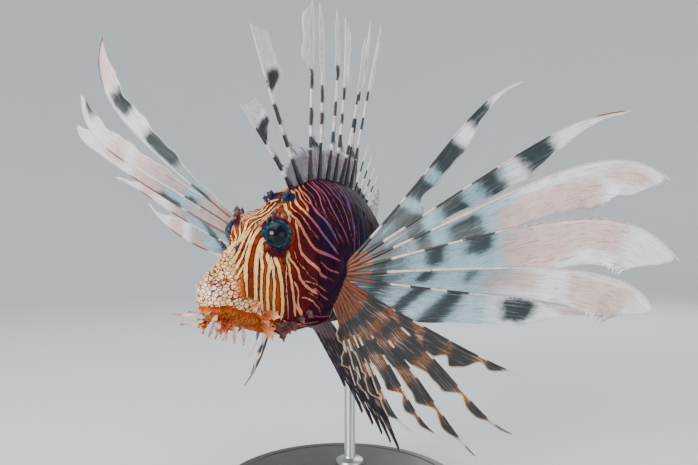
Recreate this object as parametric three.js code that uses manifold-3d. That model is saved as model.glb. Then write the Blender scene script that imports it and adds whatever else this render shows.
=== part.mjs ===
// A red lionfish at life size, turning in the water with both fans spread, on a plain display stand.
// Millimetres, +Z up. The origin is the centre of the underside of the stand's base.
// The fish is built in its own terms and then set along its bent body line: "along" runs from the snout to the tail,
// "out" to the fish's left, and "up" to its back.
import * as THREE from "three";
import { mergeVertices } from "three/addons/utils/BufferGeometryUtils.js";
import Module from "manifold-3d";

const wasm = await Module();
wasm.setup();
const V = THREE.Vector3;
const { degToRad, lerp, smoothstep, clamp } = THREE.MathUtils;

// Driving dimensions of the fish.
const STANDARD_LENGTH = 235; // snout to the root of the tail fin
const TRUNK_END = 168; // where the tail stem begins
const GAP = 0.3; // between two nodes that touch
const MEMBRANE = 0.6; // thickness of a fin's skin
const ROOT_DEPTH = 2.5; // how far a fin starts inside the body before it is cut to meet it

// Where the fish hangs in the air, and how its body line turns. Degrees.
const SNOUT = new V(-63.4, -97.6, 137);
const HEAD_YAW = 58;
const TRUNK_TURN = 10; // between TURN_START and TURN_MIDDLE
const TAIL_TURN = 26; // between TURN_MIDDLE and the tail
const TURN_START = 70;
const TURN_MIDDLE = 140;
const HEAD_PITCH = -7.4; // nose down
const TAIL_DROOP = 13.5; // the back arches by this much between the nape and the trunk
const ARCH_START = 60;
const ARCH_END = 125;
const ROLL = degToRad(-4.1);

// Stations of the body: along, back above the line, belly below it, half width.
const STATIONS = [
  [8, 7.8, -17, 7.8],
  [14, 11.8, -20.5, 10.6],
  [22, 17.6, -23, 12.6],
  [34, 25.5, -28, 15.5],
  [50, 31.8, -34, 19.5],
  [70, 41, -36.8, 22.5],
  [95, 47, -37.5, 24.5],
  [130, 43.5, -35.5, 22.5],
  [170, 31, -25, 15],
  [205, 16.5, -13.5, 8],
  [STANDARD_LENGTH, 13, -11.5, 4.5],
];
const SECTION_POWER = 2.1; // 2 is an ellipse
const NOSE = { end: 8, depth: 6.5 }; // the snout closes as a round nose this deep
const MIDDLE = { share: 0.3, drop: 1 }; // where the section is widest, between belly and back
const SNOUT_PINCH = { share: 0.75, from: 16, to: 44 }; // the top of the snout is a narrow ridge

// The gill cover's rear edge, where the head is parted from the trunk.
const GILL_EDGE = 85;
const GILL_RISE = 19; // how much further forward the edge lies at the nape
const GILL_FALL = 30; // and at the throat

const EYE = { along: 43, out: 11, up: 20.5, radius: 8.8 };
const NOSTRIL = { along: 21, out: 5, up: 15.5, radius: 1.5 };
const MOUTH_FRONT = { along: 2, up: -9.5 };
const MOUTH_CORNER = { along: 28, up: -18 };

// Swellings of the head: a ridge runs between two points, given as along, out, up, on both sides of the head.
const SWELLINGS = [
  { from: [33, 8.5, 25.5], to: [52, 11.5, 30], reach: 3.6, height: 3.4 }, // brow over the eye
  { from: [30, 0, 23], to: [56, 0, 34.5], reach: 5.5, height: -3 }, // hollow between the brows
  { from: [13, 3.2, 11], to: [22, 4, 16.5], reach: 2.2, height: 0.8 }, // nasal bone
  { from: [56, 5, 35], to: [66, 6, 39.5], reach: 3.2, height: 1.8 }, // crest of the nape
  { from: [3, 2.5, -7], to: [12, 8, -9], reach: 1.8, height: 0.9 }, // front of the upper lip
  { from: [12, 8, -9], to: [28, 12, -15.5], reach: 2.2, height: 1.1 }, // rear of the upper lip
  { from: [4, 2.5, -12], to: [28, 10, -21], reach: 2, height: 0.8 }, // lower lip
  { from: [30, 15, 7], to: [62, 21.5, 1], reach: 3, height: 1.5 }, // cheek ridge
  { from: [60, 21, 8], to: [62, 21.5, -14], reach: 3, height: 1.5 }, // rear of the cheek plate
  { from: [62, 21.5, -14], to: [46, 15, -30], reach: 3.2, height: 1.8 }, // lower edge of the cheek plate
  { from: [72, 22.5, 2], to: [76, 23, -4], reach: 9, height: 1.2 }, // bulge of the gill cover
  { from: [88, 24, 2], to: [82, 21, -23], reach: 4.5, height: 2.5 }, // fleshy root of the fan
];
const EYE_RIM = { reach: 2.4, height: 1.4 };

// Mesh density.
const AROUND = 40;
const HEAD_RINGS = 24;
const TRUNK_RINGS = 11;
const TAIL_AROUND = 26;
const TAIL_RINGS = 7;

// The body line.

function yawAt(along) {
  return (
    HEAD_YAW +
    TRUNK_TURN * smoothstep(along, TURN_START, TURN_MIDDLE) +
    TAIL_TURN * smoothstep(along, TURN_MIDDLE, STANDARD_LENGTH)
  );
}

// The fish's own axes at a place on its body line: forward, out (its left) and up (its back).
function axesAt(along) {
  const yaw = degToRad(yawAt(along));
  const pitch = degToRad(HEAD_PITCH + TAIL_DROOP * smoothstep(along, ARCH_START, ARCH_END));
  const forward = new V(-Math.cos(yaw) * Math.cos(pitch), -Math.sin(yaw) * Math.cos(pitch), Math.sin(pitch));
  const level = new V(Math.sin(yaw), -Math.cos(yaw), 0);
  const upright = new V().crossVectors(forward, level);
  return {
    forward,
    out: level.clone().multiplyScalar(Math.cos(ROLL)).addScaledVector(upright, Math.sin(ROLL)),
    up: upright.clone().multiplyScalar(Math.cos(ROLL)).addScaledVector(level, -Math.sin(ROLL)),
  };
}

const LINE = [SNOUT.clone()];
for (let step = 0; step < STANDARD_LENGTH + 80; step++)
  LINE.push(LINE[step].clone().addScaledVector(axesAt(step + 0.5).forward, -1));

function linePoint(along) {
  if (along < 0) return SNOUT.clone().addScaledVector(axesAt(0).forward, -along);
  const step = Math.min(Math.floor(along), LINE.length - 2);
  return LINE[step].clone().lerp(LINE[step + 1], along - step);
}

// A place given as along, out, up in the fish's own terms.
function place(along, out, up) {
  const axes = axesAt(Math.max(along, 0));
  return linePoint(along).addScaledVector(axes.out, out).addScaledVector(axes.up, up);
}

// A direction given the same way, as seen from one place on the body line.
function direction(along, back, out, up) {
  const axes = axesAt(along);
  return new V()
    .addScaledVector(axes.forward, -back)
    .addScaledVector(axes.out, out)
    .addScaledVector(axes.up, up)
    .normalize();
}

// The body surface.

// A smooth curve through one column of STATIONS.
function station(along, column) {
  const last = STATIONS.length - 1;
  const x = clamp(along, STATIONS[0][0], STATIONS[last][0]);
  let i = 0;
  while (i < last - 1 && STATIONS[i + 1][0] < x) i++;
  const slope = (k) => {
    const before = STATIONS[Math.max(k - 1, 0)];
    const after = STATIONS[Math.min(k + 1, last)];
    return (after[column] - before[column]) / (after[0] - before[0]);
  };
  const width = STATIONS[i + 1][0] - STATIONS[i][0];
  const t = (x - STATIONS[i][0]) / width;
  const rise = t * t * (3 - 2 * t);
  return (
    STATIONS[i][column] * (1 - rise) +
    STATIONS[i + 1][column] * rise +
    width * (t * (1 - t) * (1 - t) * slope(i) - t * t * (1 - t) * slope(i + 1))
  );
}

function sizesAt(along) {
  const share = Math.min(1, (NOSE.end - along) / NOSE.depth);
  const close = along < NOSE.end ? Math.sqrt(Math.max(0, 1 - share * share)) : 1;
  return { back: station(along, 1) * close, belly: station(along, 2) * close, half: station(along, 3) * close };
}

function distanceToRidge(point, ridge) {
  const from = new V(...ridge.from);
  const span = new V(...ridge.to).sub(from);
  const t = clamp(point.clone().sub(from).dot(span) / span.lengthSq(), 0, 1);
  return point.distanceTo(from.addScaledVector(span, t));
}

function swellingAt(along, out, up) {
  const point = new V(along, Math.abs(out), up);
  let height = 0;
  for (const ridge of SWELLINGS) height += ridge.height * Math.exp(-((distanceToRidge(point, ridge) / ridge.reach) ** 2));
  const fromEye = point.distanceTo(new V(EYE.along, EYE.out, EYE.up)) - EYE.radius;
  return height + EYE_RIM.height * Math.exp(-((fromEye / EYE_RIM.reach) ** 2));
}

// A point on the skin at an angle round the section, 0 at the left and 90 degrees at the back, grown outwards if asked.
function skinLocal(along, angle, grow = 0) {
  const { back, belly, half } = sizesAt(along);
  const middle = (back + belly) * MIDDLE.share - MIDDLE.drop;
  const reach = Math.sin(angle) > 0 ? back - middle : middle - belly;
  const shaped = (x) => Math.sign(x) * Math.abs(x) ** (2 / SECTION_POWER);
  const high = Math.max(shaped(Math.sin(angle)), 0);
  const pinch = SNOUT_PINCH.share * (1 - smoothstep(along, SNOUT_PINCH.from, SNOUT_PINCH.to));
  const out = half * shaped(Math.cos(angle)) * (1 - pinch * high * high);
  const up = middle + reach * shaped(Math.sin(angle));
  const normal = new THREE.Vector2(Math.cos(angle) / half, Math.sin(angle) / reach).normalize();
  const push = swellingAt(along, out, up) + grow;
  return { out: out + normal.x * push, up: up + normal.y * push };
}

function skin(along, angle, grow = 0) {
  const { out, up } = skinLocal(along, angle, grow);
  return place(along, out, up);
}

// Mesh helpers.

function geometryOf(points, triangles) {
  const geometry = new THREE.BufferGeometry();
  geometry.setAttribute("position", new THREE.Float32BufferAttribute(points.flatMap((p) => [p.x, p.y, p.z]), 3));
  geometry.setIndex(triangles.flat());
  return geometry;
}

// A closed solid from points and triangles, turned so that its faces point out.
function solidOf(points, triangles) {
  let volume = 0;
  for (const [a, b, c] of triangles) volume += points[a].dot(new V().crossVectors(points[b], points[c]));
  const facing = volume > 0 ? triangles : triangles.map(([a, b, c]) => [a, c, b]);
  return manifoldOf(geometryOf(points, facing));
}

function manifoldOf(geometry) {
  const bare = geometry.clone();
  bare.deleteAttribute("normal");
  bare.deleteAttribute("uv");
  const merged = mergeVertices(bare, 1e-4);
  return new wasm.Manifold(
    new wasm.Mesh({
      numProp: 3,
      vertProperties: new Float32Array(merged.attributes.position.array),
      triVerts: new Uint32Array(merged.index.array),
    }),
  );
}

function geometryFrom(solid) {
  const mesh = solid.getMesh();
  const geometry = new THREE.BufferGeometry();
  const points = [];
  for (let i = 0; i < mesh.numVert; i++)
    for (let k = 0; k < 3; k++) points.push(mesh.vertProperties[i * mesh.numProp + k]);
  geometry.setAttribute("position", new THREE.Float32BufferAttribute(points, 3));
  geometry.setIndex([...mesh.triVerts]);
  return geometry;
}

function largest(solid) {
  return solid.decompose().sort((a, b) => b.volume() - a.volume())[0];
}

// A closed skin over rings of equal count, with a fan over each end.
function loft(rings, firstCentre, lastCentre) {
  const count = rings[0].length;
  const points = [...rings.flat(), firstCentre, lastCentre];
  const triangles = [];
  const at = (ring, k) => ring * count + (k % count);
  for (let ring = 0; ring < rings.length - 1; ring++)
    for (let k = 0; k < count; k++) {
      triangles.push([at(ring, k), at(ring, k + 1), at(ring + 1, k + 1)]);
      triangles.push([at(ring, k), at(ring + 1, k + 1), at(ring + 1, k)]);
    }
  for (let k = 0; k < count; k++) {
    triangles.push([points.length - 2, at(0, k + 1), at(0, k)]);
    triangles.push([points.length - 1, at(rings.length - 1, k), at(rings.length - 1, k + 1)]);
  }
  return solidOf(points, triangles);
}

// Head, trunk and tail stem.

const angles = (count) => Array.from({ length: count }, (_, k) => (2 * Math.PI * k) / count);

// The gill edge runs forward both to the nape and to the throat.
function gillEdge(angle) {
  const height = Math.sin(angle);
  return height > 0 ? GILL_EDGE - GILL_RISE * height ** 1.6 : GILL_EDGE - GILL_FALL * (-height) ** 1.3;
}

const GILL_CENTRE = GILL_EDGE - 16;

function headSolid(grow = 0) {
  const start = NOSE.end - NOSE.depth + 0.1;
  const rings = [];
  for (let ring = 0; ring <= HEAD_RINGS; ring++)
    rings.push(
      angles(AROUND).map((angle) => {
        const end = gillEdge(angle) - GAP / 2 + grow;
        return skin(lerp(start, end, (ring / HEAD_RINGS) ** 1.15), angle, grow);
      }),
    );
  return loft(rings, linePoint(start - 0.2 - grow), place(GILL_CENTRE - GAP / 2 + grow, 0, 0));
}

function trunkSolid(grow = 0) {
  const end = TRUNK_END + grow;
  const rings = [];
  for (let ring = 0; ring <= TRUNK_RINGS; ring++)
    rings.push(
      angles(AROUND).map((angle) => {
        const start = gillEdge(angle) + GAP / 2 - grow;
        return skin(lerp(start, end, ring / TRUNK_RINGS), angle, grow);
      }),
    );
  return loft(rings, place(GILL_CENTRE + GAP / 2 - grow, 0, 0), linePoint(end));
}

function tailSolid(grow = 0) {
  const start = TRUNK_END + GAP - grow;
  const end = STANDARD_LENGTH + grow;
  const rings = [];
  for (let ring = 0; ring <= TAIL_RINGS; ring++)
    rings.push(angles(TAIL_AROUND).map((angle) => skin(lerp(start, end, ring / TAIL_RINGS), angle, grow)));
  return loft(rings, linePoint(start), linePoint(end));
}

// A ball with its poles along one axis.
function ball(centre, radius, around = 16, high = 10) {
  return manifoldOf(new THREE.SphereGeometry(radius, around, high).translate(centre.x, centre.y, centre.z));
}

// A thin sheet across the whole head that follows a line given as along, up.
function partingSheet(line, thickness, half) {
  const left = [];
  const right = [];
  line.forEach((point, i) => {
    const before = line[Math.max(i - 1, 0)];
    const after = line[Math.min(i + 1, line.length - 1)];
    const across = new THREE.Vector2(before.up - after.up, after.along - before.along).normalize();
    const side = across.multiplyScalar(thickness / 2);
    left.push({ along: point.along + side.x, up: point.up + side.y });
    right.push({ along: point.along - side.x, up: point.up - side.y });
  });
  const outline = [...left, ...right.reverse()];
  const shape = new THREE.Shape(outline.map((p) => new THREE.Vector2(p.along, p.up)));
  const axes = axesAt(0);
  const geometry = new THREE.ExtrudeGeometry(shape, { depth: 2 * half, bevelEnabled: false, steps: 1 });
  geometry.translate(0, 0, -half);
  const basis = new THREE.Matrix4().makeBasis(axes.forward.clone().negate(), axes.up, axes.out);
  geometry.applyMatrix4(basis.setPosition(SNOUT));
  return manifoldOf(geometry);
}

const MOUTH_LINE = [
  { along: MOUTH_FRONT.along - 8, up: MOUTH_FRONT.up - 0.5 },
  { along: MOUTH_FRONT.along + 4, up: MOUTH_FRONT.up + 0.7 },
  { along: lerp(MOUTH_FRONT.along, MOUTH_CORNER.along, 0.4), up: MOUTH_FRONT.up - 1.7 },
  { along: lerp(MOUTH_FRONT.along, MOUTH_CORNER.along, 0.7), up: MOUTH_FRONT.up - 5.2 },
  MOUTH_CORNER,
  { along: MOUTH_CORNER.along + 4, up: MOUTH_CORNER.up - 5 },
  { along: MOUTH_CORNER.along + 11, up: MOUTH_CORNER.up - 26 },
];

// Small blades: cirri, flaps and tentacles.

// A flat tapered blade that bends along its length. "side" is the way its width runs.
function blade({ root, way, side, length, width, thick, bend, lobe = 0 }) {
  const steps = 3;
  const across = side.clone().addScaledVector(way, -side.dot(way)).normalize();
  const flat = new V().crossVectors(way, across).normalize();
  const rings = [];
  for (let step = 0; step <= steps; step++) {
    const t = step / steps;
    const taper = (1 - t * 0.82) * (1 + lobe * Math.sin(Math.PI * t));
    const centre = root.clone().addScaledVector(way, length * t).addScaledVector(bend, length * t * t);
    const w = (width / 2) * taper;
    const h = Math.max((thick / 2) * (1 - 0.5 * t), 0.25);
    rings.push([
      centre.clone().addScaledVector(across, w),
      centre.clone().addScaledVector(flat, h),
      centre.clone().addScaledVector(across, -w),
      centre.clone().addScaledVector(flat, -h),
    ]);
  }
  const tip = rings[steps][0].clone().add(rings[steps][2]).multiplyScalar(0.5).addScaledVector(way, width * 0.1);
  return loft(rings, rings[0][0].clone().add(rings[0][2]).multiplyScalar(0.5), tip);
}

// The head's cirri: where each is rooted (along, out, up), which way it points (back, out, up), its length, width and
// how far its tip bends (back, out, up) as a share of its length.
const CIRRI = {
  head: [
    { at: [4, 3, 2], way: [-0.9, 0.4, 0.1], length: 3.5, width: 1.8, bend: [0, 0, -0.3] }, // snout
    { at: [6, 5, -6], way: [-0.6, 0.8, -0.1], length: 4.5, width: 2.4, bend: [0, 0, -0.3] }, // upper lip
    { at: [21.5, 4, 16.5], way: [-0.5, 0.45, 0.75], length: 4.5, width: 2.4, bend: [0.4, 0, 0] }, // nostril
    { at: [23, 11.5, -11], way: [-0.4, 0.9, -0.1], length: 4, width: 3, bend: [0, 0, -0.3] }, // jaw corner
    { at: [30, 11.8, -16.5], way: [0.35, 0.85, -0.4], length: 9, width: 5, bend: [0.2, 0, 0.1] }, // cheek, front
    { at: [33, 10.5, -20.5], way: [-0.15, 0.4, -0.9], length: 12, width: 6.5, bend: [0.1, 0, 0] },
    { at: [42, 11.5, -25], way: [0, 0.4, -0.9], length: 10, width: 5.5, bend: [0, 0, 0] },
    { at: [49, 14, -25.5], way: [0.15, 0.6, -0.8], length: 6, width: 4.5, bend: [0, 0, 0] }, // cheek, rear
    { at: [58, 18.5, -21], way: [0.5, 0.5, -0.7], length: 4.5, width: 3.5, bend: [0, 0, -0.2] },
    { at: [60, 5, 37.5], way: [0.05, 0.15, 0.98], length: 4, width: 5, bend: [0.1, 0, 0] }, // nape horn
  ],
  jaw: [
    { at: [5, 4.5, -12.5], way: [-0.8, 0.55, -0.2], length: 13, width: 2.6, bend: [0, 0.1, 0.2] }, // barbels
    { at: [7.5, 4, -16], way: [-0.75, 0.5, -0.35], length: 12.5, width: 2.8, bend: [0, 0.1, 0.2] },
    { at: [13, 4, -20], way: [-0.15, 0.25, -0.95], length: 6.5, width: 1.9, bend: [-0.15, 0, 0] }, // chin row
    { at: [20, 4.5, -22.5], way: [-0.15, 0.25, -0.95], length: 7, width: 1.9, bend: [-0.15, 0, 0] },
    { at: [27, 5, -24.5], way: [-0.1, 0.25, -0.95], length: 7.5, width: 1.9, bend: [-0.2, 0, 0] },
  ],
};
const BROW_TENTACLE = { at: [41, 11.5, 29.5], way: [0.3, 0.3, 0.9], length: 5.5, width: 4, bend: [-0.15, 0, 0] };
const SUNK = 1.6; // how far a cirrus starts inside the skin

function cirrus({ at, way, length, width, bend }, side) {
  const [along, out, up] = at;
  const toward = direction(along, way[0], way[1] * side, way[2]);
  return blade({
    root: place(along, out * side, up).addScaledVector(toward, -SUNK),
    way: toward,
    side: direction(along, 1, 0.05 * side, 0.4),
    length: length + SUNK,
    width,
    thick: 1.3,
    bend: new V()
      .addScaledVector(axesAt(along).forward, -bend[0])
      .addScaledVector(axesAt(along).out, bend[1] * side)
      .addScaledVector(axesAt(along).up, bend[2]),
    lobe: 0.35,
  });
}

const bothSides = (list) => [1, -1].flatMap((side) => list.map((one) => cirrus(one, side)));
const joined = (solid, pieces) => largest(pieces.reduce((sum, piece) => sum.add(piece), solid));

// Fins.

// The widths that a ray's free skin has along it: it swells to its widest at "peak" and narrows to "blunt" at the tip.
function skinWidth(widest, peak, blunt) {
  return (t) => widest * (0.25 + 0.75 * smoothstep(t, 0, peak)) * lerp(1, blunt, smoothstep(t, peak, 1));
}

const FREE_TURN = 0.8; // how far a ray's free skin turns away from the next ray

// One fin as one closed sheet. Each ray stands up from the sheet as a ridge, and its skin reaches the next ray as far as
// station "join", and is free beyond it.
// A ray is { point(t), radius, width(t), join }, with skin before it too where it has front(t). Its free skin turns to
// "facing" where it has that. All rays share the fractions in "fractions".
function finSheet(rays, fractions) {
  const points = [];
  const triangles = [];
  const last = fractions.length - 1;
  const put = (centre, normal, half) => {
    points.push(centre.clone().addScaledVector(normal, half), centre.clone().addScaledVector(normal, -half));
    return points.length - 2;
  };
  const frames = rays.map((ray, i) =>
    fractions.map((t, j) => {
      const e = 0.01;
      const here = ray.point(t);
      const tangent = ray.point(Math.min(t + e, 1)).sub(ray.point(Math.max(t - e, 0))).normalize();
      const to = i < rays.length - 1 ? rays[i + 1].point(t).sub(here) : here.clone().sub(rays[i - 1].point(t));
      const across = to.addScaledVector(tangent, -to.dot(tangent));
      const gap = across.length();
      across.normalize();
      if (ray.facing) across.lerp(ray.facing, FREE_TURN * clamp((j - ray.join) / 2, 0, 1));
      across.addScaledVector(tangent, -across.dot(tangent)).normalize();
      return { here, across, gap, normal: new V().crossVectors(tangent, across).normalize() };
    }),
  );
  // Vertex pairs at the ray's leading edge, crest, trailing edge, and the skin's free edge.
  const rows = rays.map((ray, i) =>
    fractions.map((t, j) => {
      const { here, across, gap, normal } = frames[i][j];
      const radius = lerp(ray.radius, 0.45, t);
      const thin = lerp(MEMBRANE / 2, 0.25, t);
      const edge = (offset, half) => put(here.clone().addScaledVector(across, offset), normal, half);
      const room = i < rays.length - 1 ? Math.max(gap * 0.88 - radius * 2, radius * 1.6) : Infinity;
      const free = Math.min(Math.max(ray.width(t), radius * 1.6), room);
      return {
        lead: edge(-radius - (ray.front ? ray.front(t) : 0), thin),
        crest: edge(0, Math.max(radius, thin + 0.15)),
        trail: edge(radius, thin),
        free: j <= ray.join && i < rays.length - 1 ? null : edge(free + radius, thin),
      };
    }),
  );
  const freeEdge = (i, j) => rows[i][j].free ?? rows[i + 1][j].lead;
  // A quad on the upper face and the same one on the lower face, split alike.
  const pane = (a, b, c, d) => {
    triangles.push([a, b, c], [a, c, d]);
    triangles.push([a + 1, c + 1, b + 1], [a + 1, d + 1, c + 1]);
  };
  // A quad on the sheet's edge, between the two faces.
  const rim = (a, b) => triangles.push([a, b, b + 1], [a, b + 1, a + 1]);
  rays.forEach((ray, i) => {
    const joinedTo = i < rays.length - 1 ? ray.join : -1;
    const joinedFrom = i > 0 ? rays[i - 1].join : -1;
    for (let j = 0; j < last; j++) {
      const a = rows[i][j];
      const b = rows[i][j + 1];
      pane(a.lead, b.lead, b.crest, a.crest);
      pane(a.crest, b.crest, b.trail, a.trail);
      pane(a.trail, b.trail, freeEdge(i, j + 1), freeEdge(i, j));
      if (j >= joinedFrom) rim(b.lead, a.lead);
      if (j >= joinedTo) rim(freeEdge(i, j), freeEdge(i, j + 1));
    }
    const root = rows[i][0];
    rim(root.lead, root.crest);
    rim(root.crest, root.trail);
    rim(root.trail, freeEdge(i, 0));
    const tip = rows[i][last];
    rim(tip.crest, tip.lead);
    rim(tip.trail, tip.crest);
    rim(freeEdge(i, last), tip.trail);
  });
  return solidOf(points, triangles);
}

// A ray that leaves its root straight, bows to one side and curls at its tip.
function rayCurve(root, way, length, bow, curl) {
  return (t) =>
    root
      .clone()
      .addScaledVector(way, length * t)
      .addScaledVector(bow, length * 4 * t * (1 - t))
      .addScaledVector(curl, length * t ** 8);
}

const FAN_FRACTIONS = [0, 0.07, 0.16, 0.27, 0.4, 0.54, 0.68, 0.8, 0.91, 1];
// The fans, ray by ray from the top: elevation, sweep towards the tail, length, bow, curl of the tip (both as shares
// of the length, upwards positive), width of the free skin, and the share of that width left at the tip.
const LEFT_FAN = [
  [54, 36, 137, -0.02, -0.1, 9.5, 0.1],
  [36, 26, 169, 0, -0.08, 13, 0.1],
  [29, 21, 168, -0.01, -0.14, 23, 0.55],
  [17, 19, 165, 0.01, -0.16, 30, 0.45],
  [5, 20, 158, 0.01, -0.1, 25, 0.45],
  [-3, 27, 141, -0.01, -0.06, 16, 0.1],
  [-27, 34, 112, -0.01, 0.01, 13, 0.1],
  [-45, 34, 131, 0.06, 0.1, 9, 0.1],
  [-52, 34, 124, 0.03, 0.04, 8, 0.1],
  [-59, 40, 105, 0.03, 0.1, 8, 0.1],
  [-65, 48, 92, 0.01, 0.09, 8, 0.1],
  [-64, 58, 77, 0, 0.02, 7, 0.1],
  [-67, 70, 64, 0, 0.02, 6, 0.1],
  [-68, 80, 53, 0, 0.02, 5, 0.1],
];
const LEFT_JOINS = [3, 3, 5, 6, 5, 4, 4, 4, 4, 4, 4, 4, 4, 0];
const RIGHT_FAN = [
  [37, -21, 164, -0.01, 0.15, 11.5, 0.5],
  [24, -14, 163, 0.03, 0.15, 12, 0.5],
  [25, -9, 169, -0.02, 0, 12, 0.5],
  [20, 2, 150, -0.04, -0.04, 12, 0.1],
  [10, 12, 141, -0.06, 0.04, 15, 0.1],
  [1, 34, 126, 0, 0, 14, 0.1],
  [-6, 45, 128, 0, 0, 13, 0.1],
  [-13, 52, 116, 0, 0, 11, 0.1],
  [-20, 56, 104, 0, 0, 9, 0.1],
  [-28, 55, 90, 0, 0, 8, 0.1],
  [-40, 48, 75, 0, 0, 7, 0.1],
  [-54, 32, 61, -0.04, 0, 5, 0.1],
  [-70, 10, 64, -0.1, 0, 5, 0.1],
  [-74, 2, 51, -0.06, 0, 5, 0.1],
];
const FAN_ROOT = { top: [88, 3], bottom: [82, -23] }; // along, up
const FAN_ALONG = 88;
const BLUNT = 0.3; // a ray that keeps more of its width than this at its tip is widest near the tip
const TOP_RADIUS = 1.5; // of the topmost ray, and of the lowest
const LOW_RADIUS = 1.1;

function fan(side, table, joins) {
  const count = table.length;
  const up = direction(FAN_ALONG, 0, 0, 1);
  return table.map(([elevation, sweep, length, bow, curl, width, blunt], i) => {
    const share = i / (count - 1);
    const along = lerp(FAN_ROOT.top[0], FAN_ROOT.bottom[0], share);
    const height = lerp(FAN_ROOT.top[1], FAN_ROOT.bottom[1], share);
    const e = degToRad(elevation);
    const s = degToRad(sweep);
    const way = direction(FAN_ALONG, Math.cos(e) * Math.sin(s), side * Math.cos(e) * Math.cos(s), Math.sin(e));
    const root = place(along, side * flankAt(along, height), height).addScaledVector(way, -ROOT_DEPTH);
    const lift = up.clone().addScaledVector(way, -up.dot(way)).normalize();
    return {
      point: rayCurve(root, way, length + ROOT_DEPTH, lift.clone().multiplyScalar(bow), lift.clone().multiplyScalar(curl)),
      radius: lerp(TOP_RADIUS, LOW_RADIUS, share),
      width: skinWidth(width, blunt > BLUNT ? 0.8 : 0.6, blunt),
      facing: lift.multiplyScalar(-side),
      join: joins[i],
    };
  });
}

// The half width of the body at a place on its flank.
function flankAt(along, height) {
  let low = -Math.PI / 2;
  let high = Math.PI / 2;
  for (let step = 0; step < 30; step++) {
    const middle = (low + high) / 2;
    if (skinLocal(along, middle).up < height) low = middle;
    else high = middle;
  }
  return skinLocal(along, low).out;
}

// On the right the skin of each ray lies on its upper side, so that fan is listed from the bottom.
function leftFan() {
  return finSheet(fan(1, LEFT_FAN, LEFT_JOINS), FAN_FRACTIONS);
}

function rightFan() {
  const joins = [...LEFT_JOINS].reverse();
  const rays = fan(-1, RIGHT_FAN, LEFT_JOINS).reverse();
  rays.forEach((ray, i) => (ray.join = Math.min(joins[Math.min(i + 1, joins.length - 1)], 4)));
  return finSheet(rays, FAN_FRACTIONS);
}

// The dorsal spines, evenly spaced along the back: lean (forward is positive), length, bow towards the tail as a share
// of the length, and the width of the pennant before and behind the tip.
const SPINES = [
  [43.5, 59, 0.02, 0, 8.5],
  [28.5, 90, -0.02, 0, 11],
  [1.5, 99, 0, 9, 0.8],
  [5, 97.5, 0.03, 2, 0.8],
  [1.5, 98.5, 0.05, 2.2, 0.8],
  [2.5, 98.5, 0.05, 0, 6],
  [-8.5, 98.5, 0.04, 3, 2],
  [-6, 112, 0, 0, 3],
  [-11, 120.5, 0, 0, 2.5],
  [-24, 42, 0, 0, 0],
  [-29, 38, 0, 0, 0],
  [-34, 35, 0, 0, 0],
  [-38, 36, 0, 0, 0],
];
const SPINE_START = 71;
const SPINE_END = 156;
const TALL = 55; // a spine longer than this carries a pennant
const SPINE_FRACTIONS = [0, 0.08, 0.17, 0.3, 0.5, 0.66, 0.76, 0.9, 1];

// A pennant rises over a fifth of the spine and runs out at its tip.
const pennant = (t, width) => width * smoothstep(t, 0.6, 0.78) * (1 - smoothstep(t, 0.88, 1));

function dorsalSpines() {
  const rays = SPINES.map(([lean, length, bow, before, behind], i) => {
    const along = lerp(SPINE_START, SPINE_END, i / (SPINES.length - 1));
    const a = degToRad(lean);
    const way = direction(along, -Math.sin(a), 0, Math.cos(a));
    const root = place(along, 0, skinLocal(along, Math.PI / 2).up).addScaledVector(way, -ROOT_DEPTH);
    const back = direction(along, 1, 0, 0);
    const tall = length > TALL;
    return {
      point: rayCurve(root, way, length + ROOT_DEPTH, back.clone().multiplyScalar(bow), new V()),
      radius: tall ? 1.5 : 1.2,
      width: tall ? (t) => 2.4 + 3 * (1 - smoothstep(t, 0, 0.3)) + pennant(t, behind) : (t) => 2.5 * (1 - t),
      front: (t) => pennant(t, before),
      join: tall ? 2 : 3,
    };
  });
  return finSheet(rays, SPINE_FRACTIONS);
}

// A fin on the midline: rays from one place on the back or belly to another, with lean and length changing evenly.
function midlineFin({ from, to, count, leans, lengths, belly, width, radius, join, bulge = 0 }) {
  const fractions = [0, 0.2, 0.42, 0.64, 0.84, 1];
  const rays = Array.from({ length: count }, (_, i) => {
    const share = i / (count - 1);
    const along = lerp(from, to, share);
    const lean = degToRad(lerp(leans[0], leans[1], share));
    const side = belly ? -1 : 1;
    const way = direction(along, Math.sin(lean), 0, side * Math.cos(lean));
    const edge = skinLocal(along, (side * Math.PI) / 2).up;
    const length = lerp(lengths[0], lengths[1], share) * (1 + bulge * Math.sin(Math.PI * share)) + ROOT_DEPTH;
    return {
      point: rayCurve(
        place(along, 0, edge).addScaledVector(way, -ROOT_DEPTH),
        way,
        length,
        new V(),
        direction(along, 1, 0, 0).multiplyScalar(0.08),
      ),
      radius,
      width: (t) => width * (1 - 0.5 * t),
      join: i < join.length ? join[i] : join[join.length - 1],
    };
  });
  return finSheet(rays, fractions);
}

const SOFT_DORSAL = {
  from: 165,
  to: 203,
  count: 9,
  leans: [42, 64],
  lengths: [38, 30],
  belly: false,
  width: 3,
  radius: 0.8,
  join: [4],
  bulge: 0.12,
};
const ANAL_FIN = {
  from: 160,
  to: 201,
  count: 9,
  leans: [38, 64],
  lengths: [22, 30],
  belly: true,
  width: 3,
  radius: 0.8,
  join: [2, 3, 3, 4],
  bulge: 0.35,
};

// The tail fin opens as a round fan from the end of the tail stem.
const TAIL_FIN = { count: 10, length: 64, spread: 46, rootHalf: 9.5 };

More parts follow.
